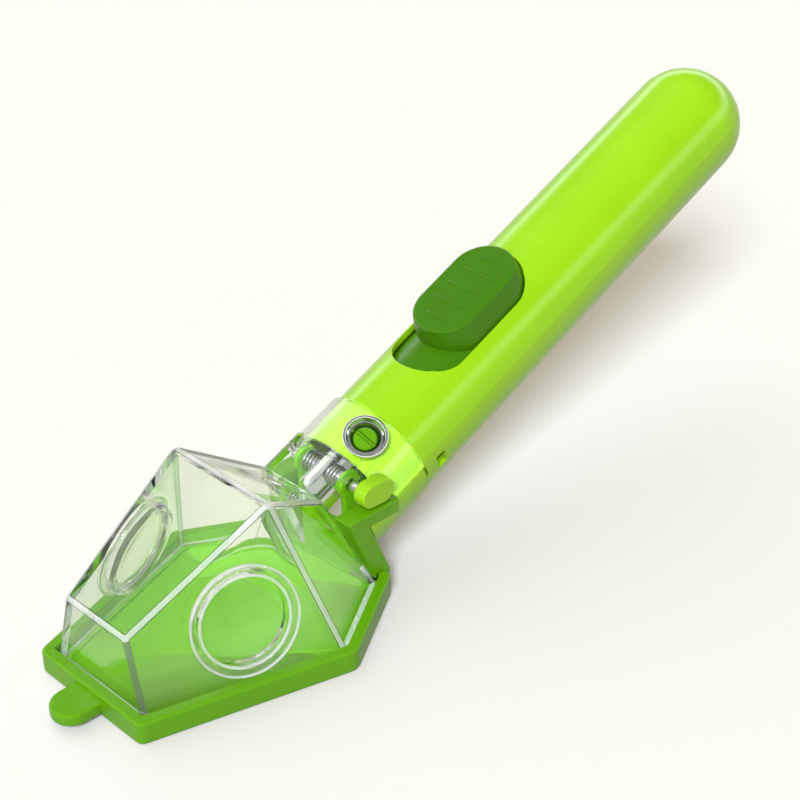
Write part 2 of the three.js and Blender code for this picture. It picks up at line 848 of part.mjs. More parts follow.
/** The flat drive rod: a long slot that passes the hinge pin, the cam slot, and a notch for the hook. */
function driveRod() {
  const start = camPinAt(0);
  const lobeFront = start.x - camPinRadius - rodGap - rodWall;
  const lobeBottom = start.y - camPinRadius - rodGap - rodWall;
  const noseBottom = hingeHeight - pinRadius - rodGap - rodWall / 2;
  const outline = new THREE.Shape();
  outline.moveTo(rodFront + rodChamfer, noseBottom);
  outline.lineTo(lobeFront, noseBottom);
  outline.lineTo(lobeFront, lobeBottom + rodChamfer);
  outline.lineTo(lobeFront + rodChamfer, lobeBottom);
  outline.lineTo(start.x + slideTravel / 2, lobeBottom);
  outline.lineTo(rodShankStation, rodShankBottom);
  outline.lineTo(rodRear, rodShankBottom);
  outline.lineTo(rodRear, rodTop);
  outline.lineTo(hookRear, rodTop);
  outline.lineTo(hookRear, rodTop - hookDepth);
  outline.lineTo(hookFront, rodTop - hookDepth);
  outline.lineTo(hookFront, rodTop);
  outline.lineTo(rodFront + rodChamfer, rodTop);
  outline.lineTo(rodFront, rodTop - rodChamfer);
  outline.lineTo(rodFront, noseBottom + rodChamfer);
  outline.closePath();
  const pinSlot = new THREE.Shape();
  const reach = pinRadius + rodGap;
  pinSlot.absarc(hingeStation, hingeHeight, reach, Math.PI / 2, 1.5 * Math.PI, false);
  pinSlot.absarc(hingeStation + slideTravel, hingeHeight, reach, -Math.PI / 2, Math.PI / 2, false);
  return cut(
    solid(sidePlate(outline, -rodHalfThickness, rodHalfThickness)),
    solid(sidePlate(pinSlot, -rodHalfThickness - past, rodHalfThickness + past)),
    solid(sidePlate(camSlot(), -rodHalfThickness - past, rodHalfThickness + past)),
  );
}

// Tray

/** The tray: a shallow dish under the chamber, with the finger tab, the two hinge arms and the gate between. */
function tray() {
  const outer = widened(baseOutline, rimGap + rimWidth);
  const inner = widened(baseOutline, -trayLedge);
  const seat = widened(baseOutline, rimGap);
  const dish = cut(
    solid(raised(rounded(outer, trayCorner), 0, rimHeight, trayBevel, 5)),
    solid(raised(rounded(inner, trayCorner), floorTop, beyond, 0, 5)),
    solid(raised(rounded(seat, seatCorner), baseZ - rimGap, beyond, 0, 3)),
  );
  const tabShape = new THREE.Shape();
  tabShape.moveTo(-tabHalfWidth, frontRimY + rimWidth / 2);
  tabShape.lineTo(-tabHalfWidth, frontRimY - tabReach + tabHalfWidth);
  tabShape.absarc(0, frontRimY - tabReach + tabHalfWidth, tabHalfWidth, Math.PI, 2 * Math.PI, false);
  tabShape.lineTo(tabHalfWidth, frontRimY + rimWidth / 2);
  tabShape.closePath();
  const tab = solid(raised(tabShape, tabBottom, tabTop, trayBevel));
  const stepHalf = yokeOuter + runningGap;
  const rearStep = solid(block(-stepHalf, stepHalf, rearStepY, beyond, rearRimHeight, beyond));
  const hinge = onGrip(0, hingeStation, hingeHeight);
  const cam = onGrip(0, camPinAt(0).x, camPinAt(0).y);
  const [armFront, armRear] = [hinge.y - armHalfWidth, hinge.y + armHalfWidth];
  const arm = join(
    solid(block(armInner, armOuter, armFront, armRear, floorTop / 2, hinge.z)),
    solid(rodX(knuckleRadius, armInner, armOuter, hinge.y, hinge.z)),
    solid(sidePlate(strut(hinge, cam, camPinRadius + restGap + armEdge), armInner, armOuter)),
  );
  const gateEnd = (armInner + armOuter) / 2;
  const gate = solid(block(-gateEnd, gateEnd, armFront, armRear, floorTop / 2, gateHeight));
  return cut(
    join(cut(dish, rearStep), tab, arm, mirrored(arm), gate),
    solid(rodX(pinHoleRadius, -beyond, beyond, hinge.y, hinge.z)),
    solid(rodX(camPinRadius + restGap, -beyond, beyond, cam.y, cam.z)),
  );
}

/** A round-ended strip in the YZ plane between two points. */
function strut(from, to, halfWidth) {
  const lean = Math.atan2(to.z - from.z, to.y - from.y);
  const shape = new THREE.Shape();
  shape.absarc(from.y, from.z, halfWidth, lean + Math.PI / 2, lean + 1.5 * Math.PI, false);
  shape.absarc(to.y, to.z, halfWidth, lean - Math.PI / 2, lean + Math.PI / 2, false);
  return shape;
}

// Yoke

/** The bracket behind the chamber: two webs and flanges, and a bridged tongue in the grip's mouth. */
function yoke() {
  const foot = solid(block(-beyond, beyond, -beyond, beyond, yokeFoot, yokeFlangeTop));
  const webs = gripSolid(block(cheekInner, yokeOuter, webFront, webRear, -beyond, beyond)).intersect(foot);
  const flange = solid(block(
    cheekInner,
    yokeOuter,
    yokeFlangeFront,
    yokeFlangeRear,
    yokeFlangeTop - yokeFlangeThickness,
    yokeFlangeTop,
  ));
  const clearOfWall = gripSolid(block(0, beyond, webFront, beyond, -beyond, beyond));
  const tongueOuter = innerRadius - restGap;
  const tongue = gripSolid(tubeY(tongueOuter, tongueOuter - yokeTongueWall, webRear - past, yokeTongueRear))
    .intersect(gripSolid(block(yokeTongueHalfOpening, beyond, -beyond, beyond, -beyond, lowerTop - restGap)));
  const bridge = gripSolid(block(
    -past,
    tongueOuter,
    yokeBridgeStation - yokeBridgeSize / 2,
    yokeBridgeStation + yokeBridgeSize / 2,
    yokeBridgeHeight - yokeBridgeSize / 2,
    yokeBridgeHeight + yokeBridgeSize / 2,
  ));
  const withinTongue = gripSolid(rodY(tongueOuter - yokeTongueWall / 2, webRear, yokeTongueRear));
  const right = join(webs, flange.intersect(clearOfWall), tongue, bridge.intersect(withinTongue));
  return join(right, mirrored(right));
}

// Hinge pin and springs

/** A straight steel pin between two side offsets, with chamfered ends, on the grip. */
function steelPin(radius, x0, x1, station, height) {
  const end = radius - pinChamfer;
  const profile = [
    [0, x0],
    [end, x0],
    [radius, x0 + pinChamfer],
    [radius, x1 - pinChamfer],
    [end, x1],
    [0, x1],
  ];
  return gripSolid(turned(profile, 24).rotateZ(-Math.PI / 2).translate(0, station, height));
}

/** The centre line of a return spring: a leg under the neck's roof, the curls, and a leg over the cam pin. */
class SpringLine extends THREE.Curve {
  constructor(side) {
    super();
    const pin = camPinAt(0).sub(new THREE.Vector2(hingeStation, hingeHeight));
    const overPin = camPinRadius + wireRadius + restGap;
    this.side = side;
    this.down = pin.angle() - 2 * Math.PI - Math.asin((springRadius - overPin) / pin.length());
    this.sweep = -this.down + 2 * Math.PI * wholeCurls;
    this.rearLeg = pin.length() + rearLegPast;
    this.coil = Math.hypot(springRadius * this.sweep, springEnd - springStart);
    this.total = frontLeg + this.coil + this.rearLeg;
  }

  getPoint(t, target = new THREE.Vector3()) {
    const run = t * this.total;
    const turn = THREE.MathUtils.clamp((run - frontLeg) / this.coil, 0, 1) * this.sweep;
    const angle = Math.PI / 2 - turn;
    const x = springStart + ((springEnd - springStart) * turn) / this.sweep;
    const before = Math.max(frontLeg - run, 0);
    const after = Math.max(run - frontLeg - this.coil, 0);
    const station = springRadius * Math.cos(angle) - before + after * Math.cos(this.down);
    const height = springRadius * Math.sin(angle) + after * Math.sin(this.down);
    return target.set(this.side * x, hingeStation + station, hingeHeight + height);
  }

  /** The least distance between points that lie more than half a curl apart, less the wire. */
  leastGap() {
    const count = 400;
    const half = (Math.PI * springRadius) / (this.total / count);
    const points = this.getPoints(count);
    let least = Infinity;
    for (let i = 0; i < points.length; i++) {
      for (let j = i + Math.ceil(half); j < points.length; j++) {
        least = Math.min(least, points[i].distanceTo(points[j]));
      }
    }
    return least - 2 * wireRadius;
  }
}

/** A return spring as one unbroken tube of five sides. */
function torsionSpring(side) {
  const line = new SpringLine(side);
  const section = new THREE.Shape();
  for (let i = 0; i < 5; i++) {
    const angle = (2 * Math.PI * i) / 5;
    const point = [wireRadius * Math.cos(angle), wireRadius * Math.sin(angle)];
    if (i === 0) section.moveTo(...point);
    else section.lineTo(...point);
  }
  section.closePath();
  const steps = Math.round((line.total / line.coil) * (line.sweep / (2 * Math.PI)) * curlSteps);
  console.log(`torsion spring: least gap to itself ${line.leastGap().toFixed(2)} mm`);
  return gripSolid(new THREE.ExtrudeGeometry(section, { steps, extrudePath: line, bevelEnabled: false }));
}

// Screws and washers

/** A screw along Y from its profile, with a drive slot across its head. */
function slottedScrew(headRadius, headTop, headHeight, tip) {
  const body = solid(turned([
    [0, tip],
    [screwShankRadius - screwEdge, tip],
    [screwShankRadius, tip + screwEdge],
    [screwShankRadius, headTop - headHeight],
    [headRadius, headTop - headHeight],
    [headRadius, headTop - screwEdge],
    [headRadius - screwEdge, headTop],
    [0, headTop],
  ], 24));
  const slot = block(-beyond, beyond, headTop - driveDepth, beyond, -driveSlot / 2, driveSlot / 2);
  return cut(body, solid(slot));
}

/** The saddle's screw, seated in its cup washer. */
function coverScrew() {
  const headTop = cupBottom + cupWall + restGap + coverHeadHeight;
  const screw = geometryOf(slottedScrew(coverHeadRadius, headTop, coverHeadHeight, studBottom + restGap));
  return gripSolid(atStud(screw));
}

/** The bright cup washer: a cup in the cover's bore, with a rounded flange on the pad. */
function cupWasher() {
  const outer = cupBore + cupWall;
  const flange = padTop + restGap;
  const middle = (cupRadius + cupBore) / 2;
  const lip = Array.from({ length: lipSteps + 1 }, (_, i) => {
    const angle = (Math.PI * i) / lipSteps;
    return [middle + (cupRadius - middle) * Math.cos(angle), flange + cupFlange * Math.sin(angle)];
  });
  const profile = [
    [shankHoleRadius, cupBottom],
    [outer, cupBottom],
    [outer, flange],
    ...lip,
    [cupBore, cupBottom + cupWall],
    [shankHoleRadius, cupBottom + cupWall],
    [shankHoleRadius, cupBottom],
  ];
  return gripSolid(atStud(turned(profile, 28)));
}

/** A grip screw, driven from below. */
function gripScrew(station) {
  const headTop = gripRadius - screwHeadDepth;
  const screw = geometryOf(slottedScrew(screwHeadRadius, headTop, screwHeadHeight, -screwReach));
  return gripSolid(screw.rotateX(-Math.PI / 2).translate(0, station, 0));
}

/** The screw that holds the button on the carriage, driven from inside. */
function slideScrew() {
  const headTop = -(carriageInner - restGap - screwHeadHeight);
  const tip = -(buttonTop - boreRoof - restGap);
  const screw = geometryOf(slottedScrew(screwHeadRadius, headTop, screwHeadHeight, tip));
  return gripSolid(screw.rotateX(-Math.PI / 2).translate(0, slideScrewStation, 0));
}

// Assembly

const part = new THREE.Group();
const rearmostY = gripOriginY + (gripEnd - gripRadius) * Math.cos(gripTilt) + gripRadius;
const middleY = (frontRimY - tabReach + rearmostY) / 2;
const onGripAxis = (body) => gripSolid(geometryOf(body));
const hingePin = steelPin(pinRadius, -pinLeft, pinRight, hingeStation, hingeHeight);
const camPin = steelPin(camPinRadius, -armOuter, armOuter, camPinAt(0).x, camPinAt(0).y);

part.add(
  piece('clear_cover', geometryOf(clearCover()), finishes.clear()),
  piece('tray', geometryOf(tray()), finishes.green()),
  piece('yoke', geometryOf(yoke()), finishes.green()),
  piece('handle_upper_shell', geometryOf(onGripAxis(upperShell())), finishes.lime()),
  piece('handle_lower_shell', geometryOf(onGripAxis(lowerShell())), finishes.lime()),
  piece('thumb_button', geometryOf(onGripAxis(thumbButton())), finishes.deepGreen()),
  piece('slider_carriage', geometryOf(onGripAxis(sliderCarriage())), finishes.deepGreen()),
  piece('drive_rod', geometryOf(onGripAxis(driveRod())), finishes.white()),
  piece('slide_screw', geometryOf(slideScrew()), finishes.steel()),
  piece('hinge_pin', geometryOf(hingePin), finishes.steel()),
  piece('cup_washer', geometryOf(cupWasher()), finishes.steel()),
  piece('cover_screw', geometryOf(coverScrew()), finishes.green()),
  piece('cam_pin', geometryOf(camPin), finishes.steel()),
);
for (const [name, side] of [['right', 1], ['left', -1]]) {
  part.add(
    piece(`lens_${name}`, lens(side), finishes.clear()),
    piece(`lens_ring_${name}`, windowRing(side), finishes.clear()),
    piece(`torsion_spring_${name}`, geometryOf(torsionSpring(side)), finishes.steel()),
  );
}
screwStations.forEach((station, i) => {
  part.add(piece(`handle_screw_${i + 1}`, geometryOf(gripScrew(station)), finishes.steel()));
});
part.position.y = -middleY;

export default part;
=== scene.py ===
"""Studio picture of a hand-held bug catcher, dressed over its CAD frame.

Lengths are in metres in the frame's own axes: +Z is up, the tray's tab points to -Y, and the grip rises
to +Y.
"""

import json
import logging
import math
from dataclasses import dataclass
from enum import Enum

import bmesh
import bpy
import numpy as np
from mathutils import Matrix, Vector


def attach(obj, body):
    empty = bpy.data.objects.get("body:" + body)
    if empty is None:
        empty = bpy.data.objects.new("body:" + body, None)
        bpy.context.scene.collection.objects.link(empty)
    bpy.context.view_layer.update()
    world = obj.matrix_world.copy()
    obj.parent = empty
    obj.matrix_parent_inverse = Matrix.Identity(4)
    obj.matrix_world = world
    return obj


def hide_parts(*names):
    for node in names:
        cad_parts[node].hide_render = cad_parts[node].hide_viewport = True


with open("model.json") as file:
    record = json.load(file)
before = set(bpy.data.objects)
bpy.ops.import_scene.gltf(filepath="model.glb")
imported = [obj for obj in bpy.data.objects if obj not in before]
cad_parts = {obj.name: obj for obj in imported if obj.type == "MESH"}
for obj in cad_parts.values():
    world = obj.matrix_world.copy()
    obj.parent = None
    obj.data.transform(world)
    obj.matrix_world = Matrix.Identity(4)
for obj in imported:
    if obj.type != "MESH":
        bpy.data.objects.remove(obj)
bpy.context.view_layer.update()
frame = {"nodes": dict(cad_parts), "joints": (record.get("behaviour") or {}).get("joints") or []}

log = logging.getLogger("bug_catcher")
MM = 0.001
# Corners nearer to each other than this are one corner.
SAME_PLACE = 1e-7
# A corner nearer to a middle plane than this lies in it.
IN_PLANE = 1e-9
# The bevel operator's profile for a round section.
ROUND = 0.5

Colour = tuple[float, float, float]
Point = tuple[float, float, float]


class Body(Enum):
    """The bodies of the frame that pieces ride on."""

    HANDLE = "handle"
    TRAY = "tray_door"
    SLIDER = "slider"


class Slot(Enum):
    """The material slots of the part's record."""

    CLEAR = "clear_plastic"
    LENS = "lens_plastic"
    GREEN = "green_plastic"
    LIME = "lime_plastic"
    DEEP_GREEN = "deep_green_plastic"
    WHITE = "white_plastic"
    STEEL = "steel"
    CHROME = "chrome"


class Side(Enum):
    """The two sides of the part, seen from behind the grip."""

    RIGHT = 1
    LEFT = -1

    @property
    def word(self) -> str:
        """The side's name as the CAD nodes spell it."""
        return self.name.lower()


def linear(red: int, green: int, blue: int) -> Colour:
    """Turns a display colour into the linear values that shaders take.

    Args:
        red: Red from 0 to 255.
        green: Green from 0 to 255.
        blue: Blue from 0 to 255.

    Returns:
        The three linear values.
    """

    def channel(value: int) -> float:
        """One channel's linear value, by the curve of displays.

        Args:
            value: The channel, from 0 to 255.

        Returns:
            The linear value.
        """
        share = value / 255
        return share / 12.92 if share <= 0.04045 else ((share + 0.055) / 1.055) ** 2.4

    return channel(red), channel(green), channel(blue)


def shaded(colour: Colour, factor: float) -> tuple[float, float, float, float]:
    """A colour made darker or lighter, with full alpha.

    Args:
        colour: Linear colour.
        factor: What each channel is multiplied by.

    Returns:
        The four values of a colour socket.
    """
    return (*(min(channel * factor, 1.0) for channel in colour), 1.0)


# Finishes


class Graph:
    """The node tree of one material or world."""

    noise_low: float = 0.3
    noise_high: float = 0.7

    def __init__(self, owner: bpy.types.ID, output: str) -> None:
        """Empties the tree and adds its output.

        Args:
            owner: The material or world.
            output: Type name of the output node.
        """
        owner.use_nodes = True
        self.tree = owner.node_tree
        self.tree.nodes.clear()
        self.output = self.add(output)

    def add(self, kind: str, inputs: dict | None = None, **settings: object) -> bpy.types.Node:
        """Adds a node.

        Args:
            kind: The node's type name.
            inputs: Values or output sockets, by input name or number.
            **settings: The node's own properties.

        Returns:
            The new node.
        """
        node = self.tree.nodes.new(kind)
        for name, value in settings.items():
            setattr(node, name, value)
        for name, value in (inputs or {}).items():
            socket = node.inputs[name]
            if isinstance(value, bpy.types.NodeSocket):
                self.tree.links.new(value, socket)
            else:
                socket.default_value = value
        return node

    def noise(self, vector: bpy.types.NodeSocket, scale: float, detail: float) -> bpy.types.NodeSocket:
        """Adds a noise pattern.

        Args:
            vector: Where the pattern is read.
            scale: How fine it is.
            detail: How many finer layers it has.

        Returns:
            Its value, from 0 to 1.
        """
        inputs = {"Vector": vector, "Scale": scale, "Detail": detail}
        return self.add("ShaderNodeTexNoise", inputs).outputs[0]

    def span(self, value: bpy.types.NodeSocket, low: float, high: float) -> bpy.types.NodeSocket:
        """Spreads a noise value's middle range between two numbers.

        Args:
            value: The noise value.
            low: What its lower end becomes.
            high: What its upper end becomes.

        Returns:
            The spread value.
        """
        inputs = {
            "Value": value,
            "From Min": self.noise_low,
            "From Max": self.noise_high,
            "To Min": low,
            "To Max": high,
        }
        return self.add("ShaderNodeMapRange", inputs).outputs[0]

    def blend(self, share: object, first: object, second: object) -> bpy.types.NodeSocket:
        """Mixes two colours. The mix node's colours are its inputs 6 and 7 and its output 2.

        Args:
            share: The second colour's share, as a value or socket.
            first: The first colour, as a value or socket.
            second: The second colour, as a value or socket.

        Returns:
            The mixed colour.
        """
        return self.add("ShaderNodeMix", {0: share, 6: first, 7: second}, data_type="RGBA").outputs[2]

    def relief(self, height: bpy.types.NodeSocket, strength: float, depth: float) -> bpy.types.NodeSocket:
        """Turns a height pattern into a bumped normal.

        Args:
            height: The pattern.
            strength: How strongly it shows.
            depth: How deep it is, in metres.

        Returns:
            The normal.
        """
        inputs = {"Height": height, "Strength": strength, "Distance": depth}
        return self.add("ShaderNodeBump", inputs).outputs[0]

    def close(self, shader: bpy.types.NodeSocket) -> None:
        """Links the last shader to the output.

        Args:
            shader: The shader's socket.
        """
        self.tree.links.new(shader, self.output.inputs["Surface"])


@dataclass(frozen=True)
class MouldedPlastic:
    """Opaque injection-moulded plastic: an even colour with faint flow marks and a fine skin."""

    name: str
    colour: Colour
    roughness: float
    coat: float
    depth: float
    flow_scale: float = 55.0
    flow_strength: float = 0.03
    skin_scale: float = 1500.0
    skin_strength: float = 0.02
    skin_depth: float = 0.02 * MM
    scuff_scale: float = 240.0
    gloss: float = 0.3
    bounce: Colour = (0.4, 0.34, 0.2)
    bounce_share: float = 0.7
    detail: float = 3.0
    skin_detail: float = 2.0
    smoother: float = 0.02
    rougher: float = 0.03
    ior: float = 1.5
    coat_roughness: float = 0.16
    glow_radius: Colour = (0.5, 1.0, 0.2)
    glow_scale: float = 1.2 * MM

    def build(self) -> bpy.types.Material:
        """Makes the material.

        Returns:
            The finished material.
        """
        material = bpy.data.materials.new(self.name)
        graph = Graph(material, "ShaderNodeOutputMaterial")
        place = graph.add("ShaderNodeTexCoord").outputs["Object"]
        flow = graph.span(graph.noise(place, self.flow_scale, self.detail), 0.0, 1.0)
        dark = shaded(self.colour, 1 - self.flow_strength)
        light = shaded(self.colour, 1 + self.flow_strength)
        bounced = {0: graph.add("ShaderNodeLightPath").outputs["Is Diffuse Ray"], 1: self.bounce_share}
        share = graph.add("ShaderNodeMath", bounced, operation="MULTIPLY").outputs[0]
        tone = graph.blend(share, graph.blend(flow, dark, light), (*self.bounce, 1.0))
        scuff = graph.noise(place, self.scuff_scale, self.detail)
        skin = graph.noise(place, self.skin_scale, self.skin_detail)
        inputs = {
            "Base Color": tone,
            "Roughness": graph.span(scuff, self.roughness - self.smoother, self.roughness + self.rougher),
            "Normal": graph.relief(skin, self.skin_strength, self.skin_depth),
            "IOR": self.ior,
            "Subsurface Weight": self.depth,
            "Subsurface Radius": self.glow_radius,
            "Subsurface Scale": self.glow_scale,
            "Specular IOR Level": self.gloss,
            "Coat Weight": self.coat,
            "Coat Roughness": self.coat_roughness,
        }
        graph.close(graph.add("ShaderNodeBsdfPrincipled", inputs).outputs[0])
        return material


@dataclass(frozen=True)
class ClearPlastic:
    """Polished clear plastic that lets lamps through, with a faint haze of handling marks."""

    name: str
    tint: Colour
    shade: Colour
    roughness: float
    clearness: float = 1.0
    ior: float = 1.12
    haze_scale: float = 160.0
    wave_scale: float = 70.0
    wave_strength: float = 0.06
    wave_depth: float = 0.05 * MM
    wave_detail: float = 1.0
    haze_detail: float = 5.0
    haze_dark: float = 0.985
    haze_rougher: float = 2.5
    coat: float = 1.0

    def build(self) -> bpy.types.Material:
        """Makes the material.

        Returns:
            The finished material.
        """
        material = bpy.data.materials.new(self.name)
        graph = Graph(material, "ShaderNodeOutputMaterial")
        place = graph.add("ShaderNodeTexCoord").outputs["Object"]
        haze = graph.noise(place, self.haze_scale, self.haze_detail)
        wave = graph.noise(place, self.wave_scale, self.wave_detail)
        dark = shaded(self.tint, self.haze_dark)
        tone = graph.blend(graph.span(haze, 0.0, 1.0), dark, shaded(self.tint, 1.0))
        inputs = {
            "Base Color": tone,
            "Roughness": graph.span(haze, self.roughness, self.roughness * self.haze_rougher),
            "Normal": graph.relief(wave, self.wave_strength, self.wave_depth),
            "IOR": self.ior,
            "Transmission Weight": self.clearness,
            "Coat Weight": self.coat,
            "Coat Roughness": self.roughness,
        }
        body = graph.add("ShaderNodeBsdfPrincipled", inputs).outputs[0]
        open_to_lamps = graph.add("ShaderNodeBsdfTransparent", {"Color": (*self.shade, 1.0)}).outputs[0]
        ray = graph.add("ShaderNodeLightPath").outputs["Is Shadow Ray"]
        graph.close(graph.add("ShaderNodeMixShader", {0: ray, 1: body, 2: open_to_lamps}).outputs[0])
        return material


@dataclass(frozen=True)
class BrightMetal:
    """Drawn or plated metal with fine lines along X."""

    name: str
    colour: Colour
    roughness: float
    line_scale: float = 2600.0
    line_stretch: float = 0.05
    line_strength: float = 0.08
    line_depth: float = 0.01 * MM
    line_detail: float = 3.0
    smoother: float = 0.7
    rougher: float = 1.4
    cloud_scale: float = 300.0
    cloud_detail: float = 4.0
    cloud_dark: float = 0.92
    cloud_light: float = 1.04

    def build(self) -> bpy.types.Material:
        """Makes the material.

        Returns:
            The finished material.
        """
        material = bpy.data.materials.new(self.name)
        graph = Graph(material, "ShaderNodeOutputMaterial")
        place = graph.add("ShaderNodeTexCoord").outputs["Object"]
        stretch = {"Vector": place, "Scale": (self.line_stretch, 1.0, 1.0)}
        along = graph.add("ShaderNodeMapping", stretch).outputs[0]
        lines = graph.noise(along, self.line_scale, self.line_detail)
        cloud = graph.noise(place, self.cloud_scale, self.cloud_detail)
        dark = shaded(self.colour, self.cloud_dark)
        light = shaded(self.colour, self.cloud_light)
        inputs = {
            "Base Color": graph.blend(cloud, dark, light),
            "Roughness": graph.span(lines, self.roughness * self.smoother, self.roughness * self.rougher),
            "Normal": graph.relief(lines, self.line_strength, self.line_depth),
            "Metallic": 1.0,
        }
        graph.close(graph.add("ShaderNodeBsdfPrincipled", inputs).outputs[0])
        return material


LIME = MouldedPlastic("lime_gloss_plastic", linear(166, 228, 24), 0.25, 0.35, 0.08)
GREEN = MouldedPlastic("leaf_green_plastic", linear(106, 177, 10), 0.32, 0.15, 0.06)
DEEP_GREEN = MouldedPlastic("deep_green_plastic", linear(70, 132, 4), 0.34, 0.05, 0.04)
WHITE = MouldedPlastic("white_rod_plastic", linear(204, 208, 196), 0.42, 0.0, 0.15)
CLEAR = ClearPlastic("clear_cover_plastic", (0.945, 0.94, 0.91), (0.94, 0.94, 0.91), 0.012)
# Painted highlight: a whiter, hazier clear finish that makes the cover's rounded corners, its rim's
# underside and the window rings' beads look lit.
EDGE_HIGHLIGHT = ClearPlastic("clear_cover_painted_highlight", (0.97, 0.98, 0.97), (0.95, 0.96, 0.94), 0.12, 0.5)
# Painted shade: a dark clear finish for the dark lines along each side of the cover's rounded corners.
EDGE_PAINTED_SHADE = ClearPlastic("clear_cover_painted_shade", (0.3, 0.31, 0.29), (0.9, 0.91, 0.89), 0.1, 0.75)
LENS = ClearPlastic("clear_lens_plastic", (0.84, 0.88, 0.74), (0.95, 0.96, 0.93), 0.008)
STEEL = BrightMetal("drawn_steel", (0.66, 0.67, 0.68), 0.2)
CHROME = BrightMetal("bright_chrome", (0.86, 0.87, 0.88), 0.06)

Finish = MouldedPlastic | ClearPlastic | BrightMetal


class Workshop:
    """Makes each finish once, and turns meshes into pieces of the dressed model."""

    def __init__(self) -> None:
        """Starts with no finish made."""
        self.finishes: dict[str, bpy.types.Material] = {}

    def finish(self, kind: Finish) -> bpy.types.Material:
        """Gives the material of a finish, which is made at its first use.

        Args:
            kind: The finish.

        Returns:
            Its material.
        """
        if kind.name not in self.finishes:
            self.finishes[kind.name] = kind.build()
        return self.finishes[kind.name]

    def piece(
        self,
        name: str,
        mesh: bpy.types.Mesh,
        kinds: tuple[Finish, ...],
        body: Body,
        nodes: tuple[str, ...],
    ) -> bpy.types.Object:
        """Adds a mesh to the scene as a piece that rides on a body.

        Args:
            name: The piece's name.
            mesh: Its finished mesh, in the row frame.
            kinds: Its finishes, in the order of its faces' material numbers.
            body: The body it rides on.
            nodes: The CAD nodes it stands for.

        Returns:
            The new object.
        """
        for kind in kinds:
            mesh.materials.append(self.finish(kind))
        obj = bpy.data.objects.new(name, mesh)
        bpy.context.scene.collection.objects.link(obj)
        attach(obj, body.value)
        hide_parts(*nodes)
        log.info("%s: %d faces, stands for %s", name, len(mesh.polygons), ", ".join(nodes))
        return obj


workshop = Workshop()


# Shapes


def meshed(bm: bmesh.types.BMesh, name: str) -> bpy.types.Mesh:
    """Turns a bmesh into a mesh and frees it.

    Args:
        bm: The bmesh.
        name: The mesh's name.

    Returns:
        The new mesh.
    """
    mesh = bpy.data.meshes.new(name)
    bm.to_mesh(mesh)
    bm.free()
    return mesh


def spun(profile: list[tuple[float, float]], segments: int, closed: bool) -> bmesh.types.BMesh:
    """Spins a profile about Z.

    Args:
        profile: Points as (radius, height).
        segments: Steps of the full turn.
        closed: Whether the profile's last point joins its first.

    Returns:
        A bmesh with its faces pointing outwards.
    """
    bm = bmesh.new()
    points = [bm.verts.new((radius, 0.0, height)) for radius, height in profile]
    pairs = list(zip(points, points[1:]))
    if closed:
        pairs.append((points[-1], points[0]))
    edges = [bm.edges.new(pair) for pair in pairs]
    bmesh.ops.spin(
        bm,
        geom=points + edges,
        cent=(0, 0, 0),
        axis=(0, 0, 1),
        angle=2 * math.pi,
        steps=segments,
        use_merge=True,
    )
    bmesh.ops.remove_doubles(bm, verts=bm.verts, dist=SAME_PLACE)
    bmesh.ops.recalc_face_normals(bm, faces=bm.faces)
    return bm


def smoothed(bm: bmesh.types.BMesh, angle: float) -> None:
    """Shades faces smooth, with an edge kept sharp where its faces turn by more than an angle.

    Args:
        bm: The bmesh.
        angle: The angle, in degrees.
    """
    for face in bm.faces:
        face.smooth = True
    for edge in bm.edges:
        edge.smooth = not edge.is_manifold or edge.calc_face_angle(0.0) < math.radians(angle)


class GripAxes:
    """The grip's own axes: X to the side, stations along it and heights square to it."""

    hinge_station: float = -10.5 * MM
    hinge_height: float = 6.7 * MM

    def __init__(self) -> None:
        """Takes the hinge's place and the slide's direction from the frame's joints."""
        joints = {joint["name"]: joint for joint in frame["joints"]}
        self.hinge = Vector(joints["tray_hinge"]["pos_m"])
        self.along = -Vector(joints["slider_slide"]["axis"]).normalized()
        self.up = Vector((1, 0, 0)).cross(self.along)
        self.origin = self.hinge - self.along * self.hinge_station - self.up * self.hinge_height

    @property
    def matrix(self) -> Matrix:
        """The move from the grip's axes to the row frame."""
        turn = Matrix((Vector((1, 0, 0)), self.along, self.up)).transposed().to_4x4()
        return Matrix.Translation(self.origin) @ turn

    def height(self, place: Vector) -> float:
        """Measures a place's height over the grip's axis.

        Args:
            place: The place, in the row frame.

        Returns:
            Its height.
        """
        return (place - self.origin).dot(self.up)


grip_axes = GripAxes()


